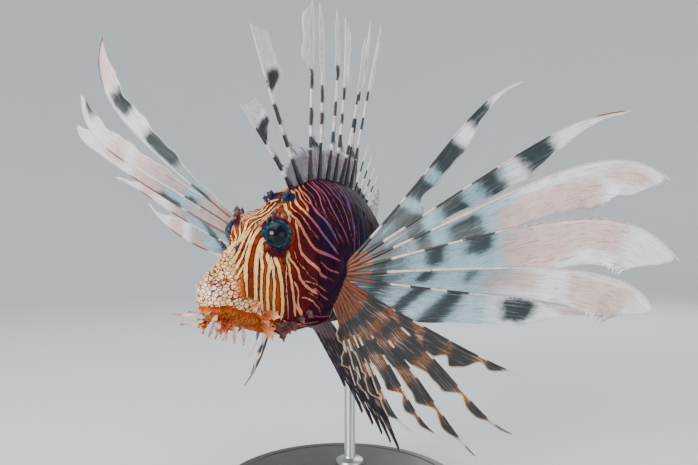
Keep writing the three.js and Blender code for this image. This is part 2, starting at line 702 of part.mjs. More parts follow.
function tailFin() {
  const { forward, up } = axesAt(STANDARD_LENGTH);
  const rays = Array.from({ length: TAIL_FIN.count }, (_, i) => {
    const share = i / (TAIL_FIN.count - 1);
    const turn = degToRad(lerp(TAIL_FIN.spread, -TAIL_FIN.spread, share) * 0.5);
    const way = forward.clone().multiplyScalar(-Math.cos(turn)).addScaledVector(up, Math.sin(turn));
    const root = place(STANDARD_LENGTH - ROOT_DEPTH, 0, lerp(TAIL_FIN.rootHalf, -TAIL_FIN.rootHalf, share));
    const length = TAIL_FIN.length * (0.86 + 0.14 * Math.sin(Math.PI * share)) + ROOT_DEPTH;
    return { point: rayCurve(root, way, length, new V(), new V()), radius: 0.8, width: () => 2.5, join: 4 };
  });
  return finSheet(rays, [0, 0.2, 0.42, 0.64, 0.86, 1]);
}

// The pelvic fins hang from the belly, the left spread and the right folded back. From the leading ray to the outermost:
// drop below the level, sweep from straight out to straight back, and length.
const PELVIC = {
  left: { count: 6, drops: [57, 56], sweeps: [70, 49], lengths: [46, 92] },
  right: { count: 6, drops: [20, 12], sweeps: [85, 74], lengths: [42, 70] },
};
const PELVIC_ROOT = { along: [88, 97], out: [4, 9] };

function pelvicFin(side, { count, drops, sweeps, lengths }) {
  const rays = Array.from({ length: count }, (_, i) => {
    const share = i / (count - 1);
    const along = lerp(PELVIC_ROOT.along[0], PELVIC_ROOT.along[1], share);
    const out = lerp(PELVIC_ROOT.out[0], PELVIC_ROOT.out[1], share);
    const drop = degToRad(lerp(drops[0], drops[1], share));
    const sweep = degToRad(lerp(sweeps[0], sweeps[1], share));
    const way = direction(along, Math.cos(drop) * Math.sin(sweep), side * Math.cos(drop) * Math.cos(sweep), -Math.sin(drop));
    const root = place(along, side * out, bellyAt(along, out)).addScaledVector(way, -ROOT_DEPTH);
    return {
      point: rayCurve(root, way, lerp(lengths[0], lengths[1], share ** 0.5) + ROOT_DEPTH, new V(), new V(0, 0, -0.03)),
      radius: 1,
      width: skinWidth(7, 0.6, 0.2),
      join: 4,
    };
  });
  return finSheet(rays, [0, 0.12, 0.28, 0.46, 0.66, 0.84, 1]);
}

// The height of the belly at a place beside the midline.
function bellyAt(along, out) {
  let low = -Math.PI / 2;
  let high = 0;
  for (let step = 0; step < 30; step++) {
    const middle = (low + high) / 2;
    if (skinLocal(along, middle).out < out) low = middle;
    else high = middle;
  }
  return skinLocal(along, low).up;
}

// The stand.

const BASE = { radius: 74, height: 12, edge: 2.5 };
const ROD = { along: 148, radius: 3.5, collar: 9, collarHeight: 4 };

function standBase() {
  const { radius, height, edge } = BASE;
  const profile = [
    [0, 0],
    [radius - edge / 2, 0],
    [radius, edge / 2],
    [radius, height - edge],
    [radius - edge, height],
    [0, height],
  ];
  return manifoldOf(new THREE.LatheGeometry(profile.map(([x, y]) => new THREE.Vector2(x, y)), 44).rotateX(Math.PI / 2));
}

// A rod with a round collar on the base, reaching into the belly before it is cut to meet it.
function standRod() {
  const top = place(ROD.along, 0, skinLocal(ROD.along, -Math.PI / 2).up + 8);
  const foot = BASE.height + GAP;
  const profile = [
    [0, foot],
    [ROD.collar, foot],
    [ROD.collar, foot + ROD.collarHeight - 1],
    [ROD.collar - 1, foot + ROD.collarHeight],
    [ROD.radius, foot + ROD.collarHeight],
    [ROD.radius, top.z],
    [0, top.z],
  ];
  const lathe = new THREE.LatheGeometry(profile.map(([x, y]) => new THREE.Vector2(x, y)), 20);
  return manifoldOf(lathe.rotateX(Math.PI / 2).translate(top.x, top.y, 0));
}

// The model.

const fleshy = (color, roughness = 0.55) => new THREE.MeshStandardMaterial({ color, roughness, metalness: 0 });
const MATERIALS = {
  skin: fleshy("#8a4a33"),
  eye: fleshy("#10202e", 0.15),
  fan: fleshy("#b9a79e", 0.45),
  spine: fleshy("#cdb9ae", 0.45),
  darkFin: fleshy("#3a2b30", 0.5),
  cirrus: fleshy("#b5532c"),
  base: new THREE.MeshStandardMaterial({ color: "#2a2521", roughness: 0.45, metalness: 0 }),
  rod: new THREE.MeshStandardMaterial({ color: "#b9bcbf", roughness: 0.3, metalness: 1 }),
};

const lionfish = new THREE.Group();
function add(name, solid, material) {
  const mesh = new THREE.Mesh(geometryFrom(solid), material);
  mesh.name = name;
  lionfish.add(mesh);
  return solid;
}

const grownHead = headSolid(GAP);
const grownTrunk = trunkSolid(GAP);
const grownTail = tailSolid(GAP);
const clearOfBody = (solid) => largest(solid.subtract(grownTrunk).subtract(grownHead).subtract(grownTail));

const eyeCentre = (side) => place(EYE.along, side * EYE.out, EYE.up);
const socket = (side) => ball(eyeCentre(side), EYE.radius + GAP);
let head = headSolid();
for (const side of [1, -1]) {
  head = head.subtract(socket(side));
  const nostril = place(NOSTRIL.along, side * (NOSTRIL.out + 2.5), NOSTRIL.up + 1);
  head = head.subtract(ball(nostril, NOSTRIL.radius * 1.8, 8, 6));
}
const [skull, jaw] = head
  .subtract(partingSheet(MOUTH_LINE, GAP * 1.3, 40))
  .decompose()
  .sort((a, b) => b.volume() - a.volume());
const grownJaw = jaw;
const headDone = joined(skull, bothSides(CIRRI.head)).subtract(grownJaw);
const jawDone = joined(jaw, bothSides(CIRRI.jaw));
add("head", largest(headDone), MATERIALS.skin);
add("lower_jaw", largest(jawDone.subtract(headDone)), MATERIALS.skin);
add("trunk", trunkSolid(), MATERIALS.skin);
add("tail_stem", tailSolid(), MATERIALS.skin);

for (const [word, side] of [
  ["left", 1],
  ["right", -1],
]) {
  add("eye_" + word, ball(eyeCentre(side), EYE.radius), MATERIALS.eye);
  add("brow_tentacle_" + word, clearOfBody(cirrus(BROW_TENTACLE, side).subtract(socket(side))), MATERIALS.cirrus);
  add("pelvic_fin_" + word, clearOfBody(pelvicFin(side, PELVIC[word])), MATERIALS.darkFin);
}
add("pectoral_fin_left", clearOfBody(leftFan()), MATERIALS.fan);
add("pectoral_fin_right", clearOfBody(rightFan()), MATERIALS.fan);
add("dorsal_fin_spiny", clearOfBody(dorsalSpines()), MATERIALS.spine);
add("dorsal_fin_soft", clearOfBody(midlineFin(SOFT_DORSAL)), MATERIALS.fan);
add("anal_fin", clearOfBody(midlineFin(ANAL_FIN)), MATERIALS.fan);
add("tail_fin", clearOfBody(tailFin()), MATERIALS.fan);
add("stand_base", standBase(), MATERIALS.base);
add("stand_rod", clearOfBody(standRod()), MATERIALS.rod);

export default lionfish;
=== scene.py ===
"""A life-size still model of a swimming red lionfish, both fans spread, held over a plain display stand.

The fish is worked out in its own terms, in millimetres: "along" runs from the snout to the tail, "out" to
the fish's left and "up" to its back. A bent body line carries these terms into the row frame, and a mesh is
scaled to metres.
"""

import logging
import math
from dataclasses import dataclass
from enum import Enum
from functools import cached_property
from typing import Sequence

import bmesh
import bpy
import numpy as np
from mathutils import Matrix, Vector, noise


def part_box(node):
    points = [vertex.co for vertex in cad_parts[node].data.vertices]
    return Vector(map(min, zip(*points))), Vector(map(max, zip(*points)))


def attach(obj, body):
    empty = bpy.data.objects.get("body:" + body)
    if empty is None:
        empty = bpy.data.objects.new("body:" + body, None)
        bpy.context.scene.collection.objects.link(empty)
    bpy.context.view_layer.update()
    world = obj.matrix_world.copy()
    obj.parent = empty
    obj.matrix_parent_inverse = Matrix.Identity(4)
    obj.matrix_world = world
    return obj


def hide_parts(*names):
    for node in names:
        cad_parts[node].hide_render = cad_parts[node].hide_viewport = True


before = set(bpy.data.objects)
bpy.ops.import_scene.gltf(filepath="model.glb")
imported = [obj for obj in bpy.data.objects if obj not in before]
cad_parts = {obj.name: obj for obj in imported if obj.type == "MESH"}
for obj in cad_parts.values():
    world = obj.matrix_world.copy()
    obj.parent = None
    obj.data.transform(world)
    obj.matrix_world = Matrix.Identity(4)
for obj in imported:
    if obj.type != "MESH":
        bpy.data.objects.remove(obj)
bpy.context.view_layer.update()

log = logging.getLogger("lionfish")
Array = np.ndarray
METRE = 0.001
TINY = 1e-9
FAR = 1e9
WHOLE_TURN = 2 * np.pi


def smoothstep(x: Array | float, low: float, high: float) -> Array | float:
    """A smooth rise from 0 at low to 1 at high.

    Args:
        x: The value or values to place on the rise.
        low: Where the rise starts.
        high: Where it ends.

    Returns:
        The share of the rise that each value has reached.
    """
    t = np.clip((x - low) / (high - low), 0.0, 1.0)
    return t * t * (3.0 - 2.0 * t)


def lerp(a: Array | float, b: Array | float, t: Array | float) -> Array | float:
    """The value at share t of the way from a to b."""
    return a + (b - a) * t


def bell(x: Array | float, reach: float) -> Array | float:
    """A smooth hump of height 1 at x = 0 that dies away beyond reach."""
    return np.exp(-((x / reach) ** 2))


def unit(vectors: Array) -> Array:
    """The vectors at length 1."""
    return vectors / np.maximum(np.linalg.norm(vectors, axis=-1, keepdims=True), TINY)


def square_to(vectors: Array, axis: Array) -> Array:
    """The part of each vector that is square to a unit axis, at length 1."""
    return unit(vectors - np.sum(vectors * axis, axis=-1, keepdims=True) * axis)


def linear(colour: str) -> tuple[float, float, float, float]:
    """A colour written as on a paint chart, such as "#d98a3a", in linear values."""
    parts = [int(colour[i : i + 2], 16) / 255 for i in (1, 3, 5)]
    return tuple(p / 12.92 if p < 0.04045 else ((p + 0.055) / 1.055) ** 2.4 for p in parts) + (1.0,)


def roughen(points: Array, size: float, seed: float = 0.0) -> Array:
    """Smooth noise from -1 to 1 at each point.

    Args:
        points: Places, in millimetres.
        size: The width of one lump, in millimetres.
        seed: A shift that gives another pattern.

    Returns:
        One value for each point.
    """
    flat = points.reshape(-1, 3) / size + seed
    return np.array([noise.noise(Vector(p)) for p in flat]).reshape(points.shape[:-1])


def distance_to_path(points: Array, path: Array) -> tuple[Array, Array]:
    """How far each point is from a path of straight lengths.

    Args:
        points: The points, one to a row.
        path: The corners of the path, one to a row.

    Returns:
        The distance of each point, and the share of the path's corners passed at its nearest place.
    """
    nearest = np.full(len(points), FAR)
    share = np.zeros(len(points))
    for i in range(len(path) - 1):
        span = path[i + 1] - path[i]
        t = np.clip((points - path[i]) @ span / max(span @ span, TINY), 0.0, 1.0)
        d = np.linalg.norm(points - path[i] - t[:, None] * span, axis=1)
        closer = d < nearest
        nearest[closer] = d[closer]
        share[closer] = ((i + t) / (len(path) - 1))[closer]
    return nearest, share


def curve_through(corners: Sequence[Sequence[float]], count: int) -> Array:
    """A smooth path through a few corners.

    Args:
        corners: The places that the path passes through.
        count: How many points the path has.

    Returns:
        The points of the path, one to a row.
    """
    places = np.asarray(corners, float)
    if len(places) < 3:
        return places[0] + np.linspace(0, 1, count)[:, None] * (places[-1] - places[0])
    padded = np.vstack([2 * places[0] - places[1], places, 2 * places[-1] - places[-2]])
    where = np.linspace(0, len(places) - 1 - TINY, count)
    i = np.floor(where).astype(int)
    t = (where - i)[:, None]
    a, b, c, d = padded[i], padded[i + 1], padded[i + 2], padded[i + 3]
    return 0.5 * (2 * b + (c - a) * t + (2 * a - 5 * b + 4 * c - d) * t**2 + (3 * b - a - 3 * c + d) * t**3)


class Side(Enum):
    """The two sides of the fish, with the sign of "out" on each."""

    LEFT = 1
    RIGHT = -1

    @property
    def word(self) -> str:
        """The side's name, as the part's nodes have it."""
        return self.name.lower()


@dataclass(frozen=True)
class BodyLine:
    """The bent line from snout to tail that the fish is built along, in millimetres and degrees."""

    snout: tuple[float, float, float] = (-63.4, -97.6, 137.0)
    head_yaw: float = 58.0
    trunk_turn: float = 10.0
    tail_turn: float = 26.0
    turn_start: float = 70.0
    turn_middle: float = 140.0
    length: float = 235.0
    head_pitch: float = -7.4
    droop: float = 13.5
    arch_start: float = 60.0
    arch_end: float = 125.0
    roll: float = -4.1
    reach: int = 330

    def axes(self, along: Array | float) -> tuple[Array, Array, Array]:
        """The fish's own axes at places on the line.

        Args:
            along: Places from the snout.

        Returns:
            The directions forward, out and up at each place.
        """
        along = np.asarray(along, float)
        yaw = np.radians(
            self.head_yaw
            + self.trunk_turn * smoothstep(along, self.turn_start, self.turn_middle)
            + self.tail_turn * smoothstep(along, self.turn_middle, self.length)
        )
        pitch = np.radians(self.head_pitch + self.droop * smoothstep(along, self.arch_start, self.arch_end))
        flat = np.cos(pitch)
        forward = np.stack([-np.cos(yaw) * flat, -np.sin(yaw) * flat, np.sin(pitch)], axis=-1)
        level = np.stack([np.sin(yaw), -np.cos(yaw), 0 * yaw], axis=-1)
        upright = np.cross(forward, level)
        roll = math.radians(self.roll)
        out = level * math.cos(roll) + upright * math.sin(roll)
        up = upright * math.cos(roll) - level * math.sin(roll)
        return forward, out, up

    @cached_property
    def marks(self) -> Array:
        """Points on the line, one for each millimetre."""
        forward, _, _ = self.axes(np.arange(self.reach) + 0.5)
        return np.vstack([self.snout, np.asarray(self.snout) - np.cumsum(forward, axis=0)])

    def point(self, along: Array | float) -> Array:
        """The points of the line at places from the snout."""
        along = np.asarray(along, float)
        step = np.clip(np.floor(along).astype(int), 0, self.reach - 1)
        share = (along - step)[..., None]
        return self.marks[step] * (1 - share) + self.marks[step + 1] * share

    def place(self, along: Array | float, out: Array | float, up: Array | float) -> Array:
        """Points of the row frame, in millimetres, for places in the fish's own terms."""
        _, left, back = self.axes(np.maximum(along, 0))
        out, up = (np.asarray(value, float)[..., None] for value in (out, up))
        return self.point(along) + left * out + back * up

    def direction(self, along: float, back: float, out: float, up: float) -> Array:
        """A direction in the fish's own terms at one place on the line."""
        forward, left, top = self.axes(along)
        return unit(-forward * back + left * out + top * up)


@dataclass(frozen=True)
class Ridge:
    """A swelling of the head between two places, given as along, out, up, on both sides."""

    start: tuple[float, float, float]
    end: tuple[float, float, float]
    reach: float
    height: float


@dataclass(frozen=True)
class BodyForm:
    """The surface of the body round its line."""

    line: BodyLine = BodyLine()
    stations: tuple[tuple[float, float, float, float], ...] = (
        (8, 7.8, -17, 7.8),
        (14, 11.8, -20.5, 10.6),
        (22, 17.6, -23, 12.6),
        (34, 25.5, -28, 15.5),
        (50, 31.8, -34, 19.5),
        (70, 41, -36.8, 22.5),
        (95, 47, -37.5, 24.5),
        (130, 43.5, -35.5, 22.5),
        (170, 31, -25, 15),
        (205, 16.5, -13.5, 8),
        (235, 13, -11.5, 4.5),
    )
    section_power: float = 2.1
    nose_end: float = 8.0
    nose_depth: float = 6.5
    middle_share: float = 0.3
    middle_drop: float = 1.0
    pinch: float = 0.75
    pinch_from: float = 16.0
    pinch_to: float = 44.0
    eye: tuple[float, float, float] = (43.0, 11.0, 20.5)
    eye_radius: float = 8.8
    rim_reach: float = 2.4
    rim_height: float = 1.4
    gill_edge: float = 85.0
    gill_rise: float = 19.0
    gill_fall: float = 30.0
    gill_powers: tuple[float, float] = (1.6, 1.3)
    section_steps: int = 721
    ridges: tuple[Ridge, ...] = (
        Ridge((33, 8.5, 25.5), (52, 11.5, 30), 3.6, 3.4),
        Ridge((30, 0, 23), (56, 0, 34.5), 5.5, -3),
        Ridge((13, 3.2, 11), (22, 4, 16.5), 2.2, 0.8),
        Ridge((56, 5, 35), (66, 6, 39.5), 3.2, 1.8),
        Ridge((3, 2.5, -7), (12, 8, -9), 1.8, 0.9),
        Ridge((12, 8, -9), (28, 12, -15.5), 2.2, 1.1),
        Ridge((4, 2.5, -12), (28, 10, -21), 2, 0.8),
        Ridge((30, 15, 7), (62, 21.5, 1), 3, 1.5),
        Ridge((60, 21, 8), (62, 21.5, -14), 3, 1.5),
        Ridge((62, 21.5, -14), (46, 15, -30), 3.2, 1.8),
        Ridge((72, 22.5, 2), (76, 23, -4), 9, 1.2),
        Ridge((88, 24, 2), (82, 21, -23), 4.5, 2.5),
    )

    def station(self, along: Array, column: int) -> Array:
        """A smooth curve through one column of the stations."""
        table = np.asarray(self.stations, float)
        last = len(table) - 1
        x = np.clip(along, table[0, 0], table[last, 0])
        i = np.clip(np.searchsorted(table[:, 0], x, side="left") - 1, 0, last - 1)
        before = np.maximum(np.arange(last + 1) - 1, 0)
        after = np.minimum(np.arange(last + 1) + 1, last)
        slope = (table[after, column] - table[before, column]) / (table[after, 0] - table[before, 0])
        width = table[i + 1, 0] - table[i, 0]
        t = (x - table[i, 0]) / width
        rise = t * t * (3 - 2 * t)
        bend = t * (1 - t) * (1 - t) * slope[i] - t * t * (1 - t) * slope[i + 1]
        return table[i, column] * (1 - rise) + table[i + 1, column] * rise + width * bend

    def swelling(self, along: Array, out: Array, up: Array) -> Array:
        """How far the ridges and the eye's rim lift the surface."""
        points = np.stack([along, np.abs(out), up], axis=-1)
        flat = points.reshape(-1, 3)
        lift = np.zeros(len(flat))
        for ridge in self.ridges:
            away, _ = distance_to_path(flat, np.array([ridge.start, ridge.end], float))
            lift += ridge.height * bell(away, ridge.reach)
        from_eye = np.linalg.norm(flat - np.asarray(self.eye), axis=1) - self.eye_radius
        lift += self.rim_height * bell(from_eye, self.rim_reach)
        return lift.reshape(points.shape[:-1])

    def local(self, along: Array | float, angle: Array | float) -> tuple[Array, Array]:
        """The surface round the line.

        Args:
            along: Places from the snout.
            angle: Angles round the section in radians, 0 at the left and a quarter turn at the back.

        Returns:
            How far out and up the surface is.
        """
        along, angle = np.broadcast_arrays(np.asarray(along, float), np.asarray(angle, float))
        share = np.minimum(1.0, (self.nose_end - along) / self.nose_depth)
        close = np.where(along < self.nose_end, np.sqrt(np.maximum(0.0, 1 - share**2)), 1.0)
        back, belly, half = (self.station(along, column) * close for column in (1, 2, 3))
        half = np.maximum(half, 1e-3)
        middle = (back + belly) * self.middle_share - self.middle_drop
        sine, cosine = np.sin(angle), np.cos(angle)
        reach = np.maximum(np.where(sine > 0, back - middle, middle - belly), 1e-3)
        power = 2 / self.section_power
        high = np.maximum(np.sign(sine) * np.abs(sine) ** power, 0)
        pinch = self.pinch * (1 - smoothstep(along, self.pinch_from, self.pinch_to))
        out = half * np.sign(cosine) * np.abs(cosine) ** power * (1 - pinch * high * high)
        up = middle + reach * np.sign(sine) * np.abs(sine) ** power
        slant = unit(np.stack([cosine / half, sine / reach], axis=-1))
        push = self.swelling(along, out, up)
        return out + slant[..., 0] * push, up + slant[..., 1] * push

    def places(self, along: Array, angle: Array) -> Array:
        """Points of the surface as along, out and up."""
        out, up = self.local(along, angle)
        return np.stack([np.broadcast_to(along, out.shape), out, up], axis=-1)

    def top(self, along: float) -> float:
        """The height of the back."""
        return float(self.local(along, math.pi / 2)[1])

    def bottom(self, along: float) -> float:
        """The height of the belly."""
        return float(self.local(along, -math.pi / 2)[1])

    def flank(self, along: float, height: float) -> float:
        """The half width of the body at a height."""
        out, up = self.local(along, np.radians(np.linspace(-90, 90, self.section_steps)))
        return float(np.interp(height, up, out))

    def belly(self, along: float, out: float) -> float:
        """The height of the underside at a place beside the midline."""
        across, up = self.local(along, np.radians(np.linspace(-90, 0, self.section_steps)))
        return float(np.interp(out, across, up))

    def gill(self, angle: Array) -> Array:
        """Where the gill cover ends, at angles round the section."""
        height = np.sin(angle)
        rise = self.gill_rise * np.maximum(height, 0) ** self.gill_powers[0]
        return self.gill_edge - rise - self.gill_fall * np.maximum(-height, 0) ** self.gill_powers[1]


class Piece:
    """The points, faces and per-point values of one mesh."""

    tube_start: tuple[float, float, float] = (0.31, 0.77, 0.55)

    def __init__(self, name: str) -> None:
        """Starts an empty piece with a name."""
        self.name = name
        self.points: list[Array] = []
        self.loops: list[Array] = []
        self.sizes: list[Array] = []
        self.values: list[dict[str, Array]] = []
        self.count = 0

    @staticmethod
    def parts(name: str) -> tuple[int, ...]:
        """The shape of one point's value: three parts for a place, else a plain number."""
        return (3,) if name.startswith("place") else ()

    def add(self, points: Array, faces: Sequence[Array], **values: Array | float) -> None:
        """Adds points and faces.

        Args:
            points: Points in millimetres, one to a row.
            faces: Arrays of faces, each face a row of point numbers.
            **values: Values for each point, by name.
        """
        total = len(points)
        self.points.append(points)
        for block in faces:
            self.loops.append((block + self.count).ravel())
            self.sizes.append(np.full(len(block), block.shape[1]))
        spread = {}
        for name, value in values.items():
            array = np.asarray(value, float)
            shape = (total, *self.parts(name))
            spread[name] = array.reshape(shape) if array.ndim else np.broadcast_to(array, shape)
        self.values.append(spread)
        self.count += total

    def grid(self, points: Array, closed: bool = False, flip: bool = False, **values: Array) -> None:
        """Adds a grid of points as four-sided faces.

        Args:
            points: The points, by row and column.
            closed: Whether the last column meets the first.
            flip: Whether the faces turn the other way.
            **values: Values by row and column.
        """
        rows, columns = points.shape[:2]
        self.add(points.reshape(-1, 3), [grid_faces(rows, columns, closed, flip)], **values)

    def sheet(self, points: Array, half: Array | float, **values: Array) -> None:
        """Adds a thin closed sheet: a grid with two faces and a rim round it.

        Args:
            points: The middle of the sheet, by row and column.
            half: Half the sheet's thickness, in millimetres.
            **values: Values by row and column.
        """
        rows, columns = points.shape[:2]
        down = np.gradient(points, axis=0)
        across = np.gradient(points, axis=1)
        normal = unit(np.cross(down, across))
        offset = normal * np.broadcast_to(half, (rows, columns))[..., None]
        both = np.concatenate([(points + offset).reshape(-1, 3), (points - offset).reshape(-1, 3)])
        number = np.arange(rows * columns).reshape(rows, columns)
        rim = np.concatenate([number[0, :-1], number[:-1, -1], number[-1, :0:-1], number[:0:-1, 0]])
        following = np.roll(rim, -1)
        under = rows * columns
        edge = np.stack([rim, rim + under, following + under, following], axis=1)
        front, back = (grid_faces(rows, columns, False, flip) for flip in (True, False))
        doubled = {}
        for name, value in values.items():
            flat = np.broadcast_to(value, (rows, columns) + np.shape(value)[2:]).reshape(rows * columns, -1)
            doubled[name] = np.concatenate([flat, flat])
        self.add(both, [front, back + under, edge], **doubled)

    def tube(self, path: Array, radius: Array, sides: int, **values: Array) -> None:
        """Adds a closed tube along a path.

        Args:
            path: The middle of the tube, one point to a row.
            radius: Its radius at each point.
            sides: How many sides it has.
            **values: Values for each point of the path.
        """
        count = len(path)
        tangent = unit(np.gradient(path, axis=0))
        normals = [square_to(np.array(self.tube_start), tangent[0])]
        for i in range(1, count):
            normals.append(square_to(normals[-1], tangent[i]))
        normal = np.array(normals)
        side = np.cross(tangent, normal)
        turn = np.linspace(0, WHOLE_TURN, sides, endpoint=False)[None, :, None]
        around = np.cos(turn) * normal[:, None] + np.sin(turn) * side[:, None]
        ring = path[:, None] + radius[:, None, None] * around
        body = grid_faces(count, sides, True, True)
        ends = [np.arange(sides)[None, :], np.arange(sides)[None, ::-1] + (count - 1) * sides]
        spread = {
            name: np.repeat(np.broadcast_to(value, (count,) + np.shape(value)[1:]), sides, axis=0)
            for name, value in values.items()
        }
        self.add(ring.reshape(-1, 3), [body, *ends], **spread)

    def build(self, material: bpy.types.Material) -> bpy.types.Object:
        """Makes the smooth mesh object, with one finish, and puts it in the scene."""
        points = np.concatenate(self.points) * METRE
        loops = np.concatenate(self.loops).astype(np.int32)
        sizes = np.concatenate(self.sizes).astype(np.int32)
        mesh = bpy.data.meshes.new(self.name)
        mesh.vertices.add(len(points))
        mesh.vertices.foreach_set("co", points.astype(np.float32).ravel())
        mesh.loops.add(len(loops))
        mesh.loops.foreach_set("vertex_index", loops)
        mesh.polygons.add(len(sizes))
        mesh.polygons.foreach_set("loop_start", np.concatenate([[0], np.cumsum(sizes)[:-1]]).astype(np.int32))
        mesh.polygons.foreach_set("use_smooth", np.full(len(sizes), True))
        mesh.update(calc_edges=True)
        for name in sorted(self.values[0]):
            kind, key = ("FLOAT_VECTOR", "vector") if self.parts(name) else ("FLOAT", "value")
            flat = np.concatenate([block[name] for block in self.values]).astype(np.float32).ravel()
            mesh.attributes.new(name, kind, "POINT").data.foreach_set(key, flat)
        mesh.validate()
        mesh.materials.append(material)
        piece = bpy.data.objects.new(self.name, mesh)
        bpy.context.scene.collection.objects.link(piece)
        return piece


def grid_faces(rows: int, columns: int, closed: bool, flip: bool) -> Array:
    """The four-sided faces of a grid of points.

    Args:
        rows: How many rows of points there are.
        columns: How many columns.
        closed: Whether the last column meets the first.
        flip: Whether the faces turn the other way.

    Returns:
        One face to a row, as point numbers.
    """
    number = np.arange(rows * columns).reshape(rows, columns)
    if closed:
        number = np.concatenate([number, number[:, :1]], axis=1)
    corners = [number[:-1, :-1], number[1:, :-1], number[1:, 1:], number[:-1, 1:]]
    faces = np.stack(corners, axis=-1).reshape(-1, 4)
    return faces[:, ::-1] if flip else faces


def install(piece: bpy.types.Object, slot: str, *nodes: str) -> bpy.types.Object:
    """Rides a piece on the body, hides the nodes that it stands for, and logs it with its slot and nodes.

    Args:
        piece: The object, in place.
        slot: The name of its material slot, which is only logged.
        *nodes: The nodes that the piece stands for.

    Returns:
        The same object.
    """
    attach(piece, "root")
    if nodes:
        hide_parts(*nodes)
    stands_for = ", ".join(nodes) or "no node"
    log.info("%s: %d faces, slot %s, for %s", piece.name, len(piece.data.polygons), slot, stands_for)
    return piece


class Socket:
    """A value in a material, on which Python's operators add Math nodes."""

    def __init__(self, paint: "Paint", link: bpy.types.NodeSocket) -> None:
        """Wraps one output of a node."""
        self.paint = paint
        self.link = link

    def maths(self, operation: str, *values: "Socket | float") -> "Socket":
        """Adds a Math node.

        Args:
            operation: The node's operation.
            *values: Its inputs.

        Returns:
            Its result.
        """
        return self.paint.node("ShaderNodeMath", {"operation": operation}, dict(enumerate(values)))

    def __add__(self, other: "Socket | float") -> "Socket":
        """self + other."""
        return self.maths("ADD", self, other)

    def __radd__(self, other: float) -> "Socket":
        """other + self."""
        return self.maths("ADD", other, self)

    def __sub__(self, other: "Socket | float") -> "Socket":
        """self - other."""
        return self.maths("SUBTRACT", self, other)

    def __rsub__(self, other: float) -> "Socket":
        """other - self."""
        return self.maths("SUBTRACT", other, self)

    def __mul__(self, other: "Socket | float") -> "Socket":
        """self * other."""
        return self.maths("MULTIPLY", self, other)

    def __rmul__(self, other: float) -> "Socket":
        """other * self."""
        return self.maths("MULTIPLY", other, self)

    def __truediv__(self, other: "Socket | float") -> "Socket":
        """self / other."""
        return self.maths("DIVIDE", self, other)

    def larger(self, other: "Socket | float") -> "Socket":
        """The larger of two values."""
        return self.maths("MAXIMUM", self, other)

    def smaller(self, other: "Socket | float") -> "Socket":
        """The smaller of two values."""
        return self.maths("MINIMUM", self, other)

    def sine(self) -> "Socket":
        """The sine of the value."""
        return self.maths("SINE", self)

    def step(self, low: float, high: float) -> "Socket":
        """A smooth rise from 0 at low to 1 at high, which may run backwards."""
        ends = (low, high, 0.0, 1.0) if low <= high else (high, low, 1.0, 0.0)
        settings = {"interpolation_type": "SMOOTHSTEP"}
        return self.paint.node("ShaderNodeMapRange", settings, dict(enumerate((self, *ends))))


Input = Socket | float | tuple
Inputs = dict[int | str, Input]


